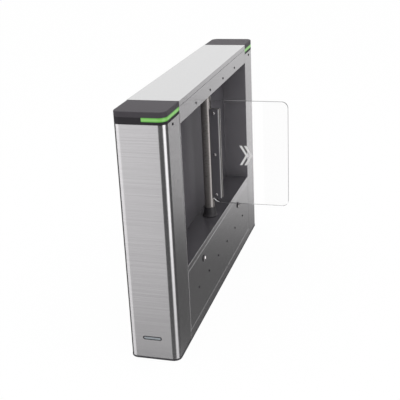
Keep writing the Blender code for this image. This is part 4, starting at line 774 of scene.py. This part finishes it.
def build_wing():
    """Clear wing with its polished edges and arrows, and the shaft and clamp that carry it."""
    low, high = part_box("wing_panel")
    outline = rounded((low.x, high.x), (low.z, high.z), OUTER_CORNER, INNER_CORNER)
    panel = bar(outline, low.y, high.y)
    item = piece("clear_wing", panel, CLEAR, "wing", ("wing_panel",), WING_EDGE)
    item.data.materials.append(CLEAR_EDGE)
    for face in item.data.polygons:
        if abs(face.normal.y) < FLAT:
            face.material_index = 1
    arrow = [(0, -ARROW_HALF), (ARROW_BAR, -ARROW_HALF), (ARROW_BAR + ARROW_REACH, 0),
             (ARROW_BAR, ARROW_HALF), (0, ARROW_HALF), (ARROW_REACH, 0)]
    row_piece("wing_arrows", bar(arrow, low.y - FILM_BACK - FILM_THICK, low.y - FILM_BACK), FILM, "wing",
              ARROWS, (ARROW_START, 0, ARROW_HEIGHT), (ARROW_PITCH, 0, 0))
    dressed("wing_shaft", MACHINED_EDGE, "turned_shaft", SATIN_TUBE)
    dressed("front_clamp", MACHINED_EDGE, "clamp_plate")
    strip = clean_copy("clamp_edge_strip")
    trim(strip, 0, STRIP_TRIM)
    piece("clamp_strip", strip, ALUMINIUM, "wing", ("clamp_edge_strip",), MACHINED_EDGE)


# Sheet steel


def build_bulkheads():
    """Bulkheads: bare steel outside, lined dark where they close the recess, in a paler tone of the acrylic
    that is painted light against the shade at the recess ends.
    """
    for end, side in ENDS:
        item = dressed(end + "_bulkhead", SHEET_EDGE)
        item.data.materials.append(LINING_PAINTED_LIGHT)
        for face in item.data.polygons:
            if face.normal.y * side < -FLAT:
                face.material_index = 1


def fold_rim(mesh, radius, side):
    """Round the rim of a sheet's outer face, all round or on one side only."""
    outside = max((corner.co for corner in mesh.verts), key=lambda place: abs(place.x)).x
    corners = [corner.co for corner in mesh.verts if abs(corner.co.x - outside) < MERGE]
    high, low = max(place.z for place in corners), min(place.z for place in corners)
    reach = max(abs(place.y) for place in corners)
    rim = []
    for edge in mesh.edges:
        places = [corner.co for corner in edge.verts]
        if any(abs(place.x - outside) > MERGE for place in places):
            continue
        if all(place.z > high - RIM_CORNER for place in places):
            found = side in ("all", "top")
        elif all(place.z < low + RIM_CORNER for place in places):
            found = side in ("all", "bottom")
        else:
            found = side == "all" and all(abs(place.y) > reach - RIM_CORNER for place in places)
        if found:
            rim.append(edge)
    bmesh.ops.bevel(mesh, geom=rim, offset=radius, offset_type="OFFSET", segments=FOLD_STEPS, profile=0.5,
                    affect="EDGES", clamp_overlap=False)


def build_sheets():
    """Sheet pieces: rims folded to a real radius, the other edges broken lightly."""
    for node, (drop, radius, side) in SHEETS.items():
        mesh = clean_copy(node)
        trim(mesh, 2, drop)
        fold_rim(mesh, radius, side)
        piece(node + "_finished", mesh, STAINLESS, NODE_BODIES[node], (node,), SHEET_EDGE)


def build_cover():
    """Top cover: a channel with tight folds; its top has the grain lengthwise and a paler tone that is
    painted light from above, its sides level.
    """
    low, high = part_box("top_cover")
    outline = [(high.x, low.z)] + arc(high.x - TIGHT_FOLD, high.z - TIGHT_FOLD, TIGHT_FOLD, 0, 90, FOLD_STEPS)
    outline += arc(low.x + TIGHT_FOLD, high.z - TIGHT_FOLD, TIGHT_FOLD, 90, 180, FOLD_STEPS)
    outline += [(low.x, low.z), (low.x + SHEET, low.z), (low.x + SHEET, high.z - SHEET),
                (high.x - SHEET, high.z - SHEET), (high.x - SHEET, low.z)]
    mesh = bar(outline, low.y, high.y)
    ends = [edge for edge in mesh.edges if all(corner.co.z > high.z - MERGE for corner in edge.verts)
            and abs(edge.verts[0].co.y - edge.verts[1].co.y) < MERGE]
    bmesh.ops.bevel(mesh, geom=ends, offset=END_FOLD, offset_type="OFFSET", segments=FOLD_STEPS, profile=0.5,
                    affect="EDGES", clamp_overlap=False)
    item = piece("top_cover_sheet", mesh, STAINLESS_TOP_PAINTED_LIGHT, "cabinet", ("top_cover",))
    item.data.materials.append(STAINLESS)
    for face in item.data.polygons:
        face.material_index = int(face.normal.z < FLAT / 2)


# Eyes, locks and the plate on the front


def eye_rim(centre):
    """Black grommet round an eye hole, with a rounded front."""
    profile = [(RIM_BORE, MERGE), (RIM_RADIUS, MERGE), (RIM_RADIUS, RIM_HEIGHT / 2),
               ((RIM_BORE + RIM_RADIUS) / 2, RIM_HEIGHT), (RIM_BORE, RIM_HEIGHT / 2)]
    return lathe(profile, centre, "X", True, SMALL_TURN_STEPS)


def build_eye_lenses():
    """Domed lenses that stand a little out of the steel, over the noses of the eyes behind it."""
    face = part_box("access_door")[1].x
    band_low, band_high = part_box("rear_band_eyes")
    door_low, door_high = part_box("door_eyes")
    middle = (band_low + band_high) / 2
    band_start = Vector((band_high.x, -middle.y * (BAND_EYES - 1) / 2, middle.z))
    door_pitch = (door_high.y - door_low.y - 2 * STRIP_END) / (DOOR_EYES - 1)
    door_start = Vector((door_high.x, -door_pitch * (DOOR_EYES - 1) / 2, (door_low.z + door_high.z) / 2))
    for name, count, start, pitch in (("band_eye_lenses", BAND_EYES, band_start, middle.y),
                                      ("door_eye_lenses", DOOR_EYES, door_start, door_pitch)):
        row_piece(name, lathe(LENS_PROFILE, (0, 0, 0), "X", steps=SMALL_TURN_STEPS), SENSOR, "cabinet",
                  count, start, (0, pitch, 0))
        rim_start = Vector((face, start.y, start.z))
        row_piece(name.replace("lenses", "rims"), eye_rim((0, 0, 0)), SENSOR,
                  "door" if name.startswith("door") else "cabinet", count, rim_start, (0, pitch, 0))
    for end, side in ENDS:
        low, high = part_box(end + "_column_eye")
        place = Vector((high.x, (low.y + high.y) / 2, (low.z + high.z) / 2))
        piece(end + "_column_eye_lens", lathe(LENS_PROFILE, place, "X", steps=SMALL_TURN_STEPS), SENSOR,
              "cabinet")
        piece(end + "_column_eye_rim", eye_rim((face, place.y, place.z)), SENSOR, "cabinet")


def build_locks():
    """Lock bezels with a dished face, each in a black rubber ring that also paints the shadow round the lock.
    """
    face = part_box("access_door")[1].x
    for end, side in ENDS:
        node = end + "_lock_housing"
        low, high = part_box(node)
        middle_y = (low.y + high.y) / 2
        mesh = clean_copy(node)
        for corner in mesh.verts:
            if corner.co.x < face + DISH_BACK:
                continue
            out = Vector((0, corner.co.y - middle_y, corner.co.z - LOCK_HEIGHT))
            if out.length < DISH_RADIUS:
                out *= DISH_RADIUS / out.length
                corner.co = Vector((face + DISH_BACK, middle_y + out.y, LOCK_HEIGHT + out.z))
            else:
                corner.co.x += BEZEL_RISE
        piece(end + "_lock_bezel", mesh, POLISHED, "door", (node,), SHEET_EDGE / 2)
        ring = [(RING_BORE, face + MERGE), (RING_RADIUS, face + MERGE),
                (RING_RADIUS, face + RING_HEIGHT), (RING_BORE, face + RING_HEIGHT)]
        piece(end + "_lock_rubber_and_shadow_ring", lathe(ring, (0, middle_y, LOCK_HEIGHT), "X", True), RUBBER, "door",
              edge=SHEET_EDGE)


def build_front_plate():
    """Blank plate low on the front: a black pill with a plain field inside."""
    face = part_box("front_column")[0].y
    for name, look, (half_x, half_z), (back, front) in (
            ("front_plate", ABS_BLACK, PLATE_HALF, PLATE_DEPTH),
            ("front_plate_field", POLYAMIDE, FIELD_HALF, FIELD_DEPTH)):
        turn = half_z - MERGE
        outline = rounded((PLATE_X - half_x, PLATE_X + half_x), (PLATE_Z - half_z, PLATE_Z + half_z),
                          turn, turn)
        piece(name, bar(outline, face - front, face - back), look, "cabinet")


# Equipment and other solids inside


def build_inside():
    """Solids of the frame with their edges broken."""
    for node, edge in INSIDE_EDGES.items():
        dressed(node, edge, look=SMOKE_SHELF if node == "recess_shelf" else None)


def screw_head(radius, height):
    """Cheese head with a rounded crown and a drive hole, seen from +X."""
    profile = [(radius * across, height * up) for across, up in HEAD_SHARES]
    return lathe(profile, (0, 0, 0), "X", steps=SCREW_STEPS)


def build_fixings():
    """Rows of screws on the equipment behind the access door, and the motor's cooling rings."""
    for name, (radius, height, start, pitch, count) in SCREW_ROWS.items():
        row_piece(name, screw_head(radius, height), ZINC, "cabinet", count, start, (0, pitch, 0))
    low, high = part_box("gearmotor")
    centre_x, centre_y = (low.x + high.x) / 2, (low.y + high.y) / 2
    ring = [(RIB_BORE, 0.0), (RIB_RADIUS, 0.0), (RIB_RADIUS, RIB_THICK), (RIB_BORE, RIB_THICK)]
    row_piece("gearmotor_cooling_rings", lathe(ring, (0, 0, 0), "Z", True, SMALL_TURN_STEPS), POWDER_COAT,
              "cabinet", RIBS, (centre_x, centre_y, low.z + RIB_START), (0, 0, RIB_PITCH),
              edge=RIB_THICK / 6)


def build_board():
    """Control board: relays, capacitor cans and connector each in their own stuff."""
    item = dressed("control_board", SMALL_EDGE)
    for look in (SENSOR, ALUMINIUM, POLYAMIDE):
        item.data.materials.append(look)
    for face in item.data.polygons:
        if max(item.data.vertices[i].co.x for i in face.vertices) < BOARD_FACE + MERGE:
            continue
        face.material_index = 1 + sum(face.center.z > level for level in BOARD_LEVELS)


def carry_over():
    """Solids that stay as they are get their slot's material."""
    for node, item in frame["nodes"].items():
        for slot in item.material_slots:
            slot.material = SLOT_MATERIALS[NODE_SLOTS[node]]


carry_over()
build_columns()
build_caps()
build_wing()
build_bulkheads()
build_sheets()
build_cover()
build_eye_lenses()
build_locks()
build_front_plate()
build_inside()
build_board()
build_fixings()


# Studio


def bare_tree(owner):
    """Emptied node tree of a material or of the world."""
    owner.use_nodes = True
    owner.node_tree.nodes.clear()
    return owner.node_tree


def looked_at(tree, path):
    """1 where the camera looks straight at something, or at it through the clear wing."""
    return add(tree, "ShaderNodeMath", {"operation": "MAXIMUM"},
               {0: path.outputs["Is Camera Ray"], 1: path.outputs["Is Transmission Ray"]})


def mirrored(tree, path):
    """1 where a ray has met a mirror on its way, also when it has passed the clear wing since."""
    return add(tree, "ShaderNodeMath", {"operation": "GREATER_THAN", 1: 0.5},
               {0: path.outputs["Glossy Depth"]})


def studio_floor():
    """White floor that keeps the shadow and lets mirrored rays through."""
    mesh = bpy.data.meshes.new("floor")
    half = FLOOR_HALF
    corners = [(-half, -half, 0), (half, -half, 0), (half, half, 0), (-half, half, 0)]
    mesh.from_pydata(corners, [], [(0, 1, 2, 3)])
    look = bpy.data.materials.new("white_studio_floor")
    tree = bare_tree(look)
    path = add(tree, "ShaderNodeLightPath")
    share = add(tree, "ShaderNodeMath", {"operation": "MULTIPLY", 1: FLOOR_GLOW},
                {0: looked_at(tree, path)})
    matt = add(tree, "ShaderNodeBsdfDiffuse", {"Color": linear("f2f2f2")})
    glow = add(tree, "ShaderNodeEmission", {"Strength": 1.0})
    mixed = add(tree, "ShaderNodeMixShader", links={0: share, 1: matt, 2: glow})
    gone = add(tree, "ShaderNodeBsdfTransparent")
    floor = add(tree, "ShaderNodeMixShader", links={0: mirrored(tree, path), 1: mixed, 2: gone})
    add(tree, "ShaderNodeOutputMaterial", links={"Surface": floor})
    mesh.materials.append(look)
    put_in("floor", mesh)


def studio_world():
    """White surroundings for the camera, glass and metal, and an even soft light on the object."""
    world = bpy.data.worlds.new("studio")
    bpy.context.scene.world = world
    tree = bare_tree(world)
    path = add(tree, "ShaderNodeLightPath")
    seen = add(tree, "ShaderNodeMath", {"operation": "MAXIMUM"},
               {0: looked_at(tree, path), 1: path.outputs["Is Glossy Ray"]})
    soft = add(tree, "ShaderNodeBackground", {"Color": linear("ffffff"), "Strength": SOFT_LEVEL})
    white = add(tree, "ShaderNodeBackground", {"Color": linear("ffffff"), "Strength": 1.0})
    mixed = add(tree, "ShaderNodeMixShader", links={0: seen, 1: soft, 2: white})
    add(tree, "ShaderNodeOutputWorld", links={"Surface": mixed})


def studio_card(name, start, stop, stops, foot=CARD_FOOT, head=CARD_HEAD):
    """Upright card on an arc round the object."""
    rings = []
    for level in (foot, head):
        spots = arc(0, 0, CARD_DISTANCE, start - 90, stop - 90)
        rings.append([(u, v, level) for u, v in spots])
    mesh = bpy.data.meshes.new(name)
    steps = len(rings[0])
    faces = [(i, i + 1, steps + i + 1, steps + i) for i in range(steps - 1)]
    mesh.from_pydata(rings[0] + rings[1], [], faces)
    reflected_only(name, mesh, stops)


def reflected_only(name, mesh, stops):
    """Stage piece that glows for reflections only, by its height, and more on metal behind the wing."""
    look = bpy.data.materials.new(name + "_cloth")
    tree = bare_tree(look)
    place = add(tree, "ShaderNodeTexCoord").outputs["Object"]
    height = add(tree, "ShaderNodeSeparateXYZ", links={"Vector": place}).outputs["Z"]
    share = add(tree, "ShaderNodeMapRange", {"From Min": FADE_FOOT, "From Max": FADE_HEAD}, {"Value": height})
    shares = [(spot, value / BRIGHTEST) for spot, value in stops]
    level = add(tree, "ShaderNodeValToRGB", {"fade": "LINEAR", "stops": shares}, {"Fac": share})
    path = add(tree, "ShaderNodeLightPath")
    passed = add(tree, "ShaderNodeMath", {"operation": "GREATER_THAN", 1: 0.5},
                 {0: path.outputs["Transmission Depth"]})
    behind = add(tree, "ShaderNodeMath", {"operation": "SUBTRACT", "use_clamp": True},
                 {0: passed, 1: path.outputs["Is Transmission Ray"]})
    gain = add(tree, "ShaderNodeMapRange", {"To Min": BRIGHTEST, "To Max": BRIGHTEST * BEHIND_WING},
               {"Value": behind})
    strength = add(tree, "ShaderNodeMath", {"operation": "MULTIPLY"}, {0: level.outputs["Color"], 1: gain})
    glow = add(tree, "ShaderNodeEmission", {"Color": linear(CARD_TINT)}, {"Strength": strength})
    gone = add(tree, "ShaderNodeBsdfTransparent")
    mixed = add(tree, "ShaderNodeMixShader", links={0: mirrored(tree, path), 1: gone, 2: glow})
    add(tree, "ShaderNodeOutputMaterial", links={"Surface": mixed})
    mesh.materials.append(look)
    item = put_in(name, mesh)
    item.visible_camera = False
    item.visible_diffuse = False
    item.visible_shadow = False
    item.visible_volume_scatter = False


def overhead_card():
    """Soft box over the set, seen by the cover and the cap lids."""
    half, height = OVERHEAD_HALF, OVERHEAD_HEIGHT
    mesh = bpy.data.meshes.new("overhead_soft_box")
    mesh.from_pydata([(-half, -half, height), (-half, half, height), (half, half, height),
                      (half, -half, height)], [], [(0, 1, 2, 3)])
    reflected_only("overhead_soft_box", mesh, ((0.0, OVERHEAD_LEVEL), (1.0, OVERHEAD_LEVEL)))


def studio_lamp():
    """Square soft box above the set."""
    data = bpy.data.lights.new("overhead", "AREA")
    data.shape = "SQUARE"
    data.size = LAMP_SIZE
    data.energy = LAMP_POWER
    item = put_in("overhead", data)
    item.location = LAMP_PLACE
    item.rotation_euler = (Vector(LAMP_AIM) - Vector(LAMP_PLACE)).to_track_quat("-Z", "Y").to_euler()
    item.visible_glossy = False


def studio_camera():
    """Camera at the photographed angle."""
    sy, cy = math.sin(CAMERA_YAW), math.cos(CAMERA_YAW)
    sp, cp = math.sin(CAMERA_PITCH), math.cos(CAMERA_PITCH)
    forward = Vector((sy * cp, cy * cp, sp))
    right = Vector((cy, -sy, 0))
    down = forward.cross(right)
    sr, cr = math.sin(CAMERA_ROLL), math.cos(CAMERA_ROLL)
    across = cr * right + sr * down
    below = cr * down - sr * right
    data = bpy.data.cameras.new("camera")
    data.sensor_width = SENSOR_WIDTH
    data.lens = FOCAL_LENGTH
    item = put_in("camera", data)
    turn = Matrix((across, -below, -forward)).transposed()
    item.matrix_world = Matrix.Translation(CAMERA_PLACE) @ turn.to_4x4()
    bpy.context.scene.camera = item


studio_floor()
studio_world()
for card in CARDS:
    studio_card(*card)
overhead_card()
studio_lamp()
studio_camera()
bpy.context.scene.view_settings.view_transform = "Standard"
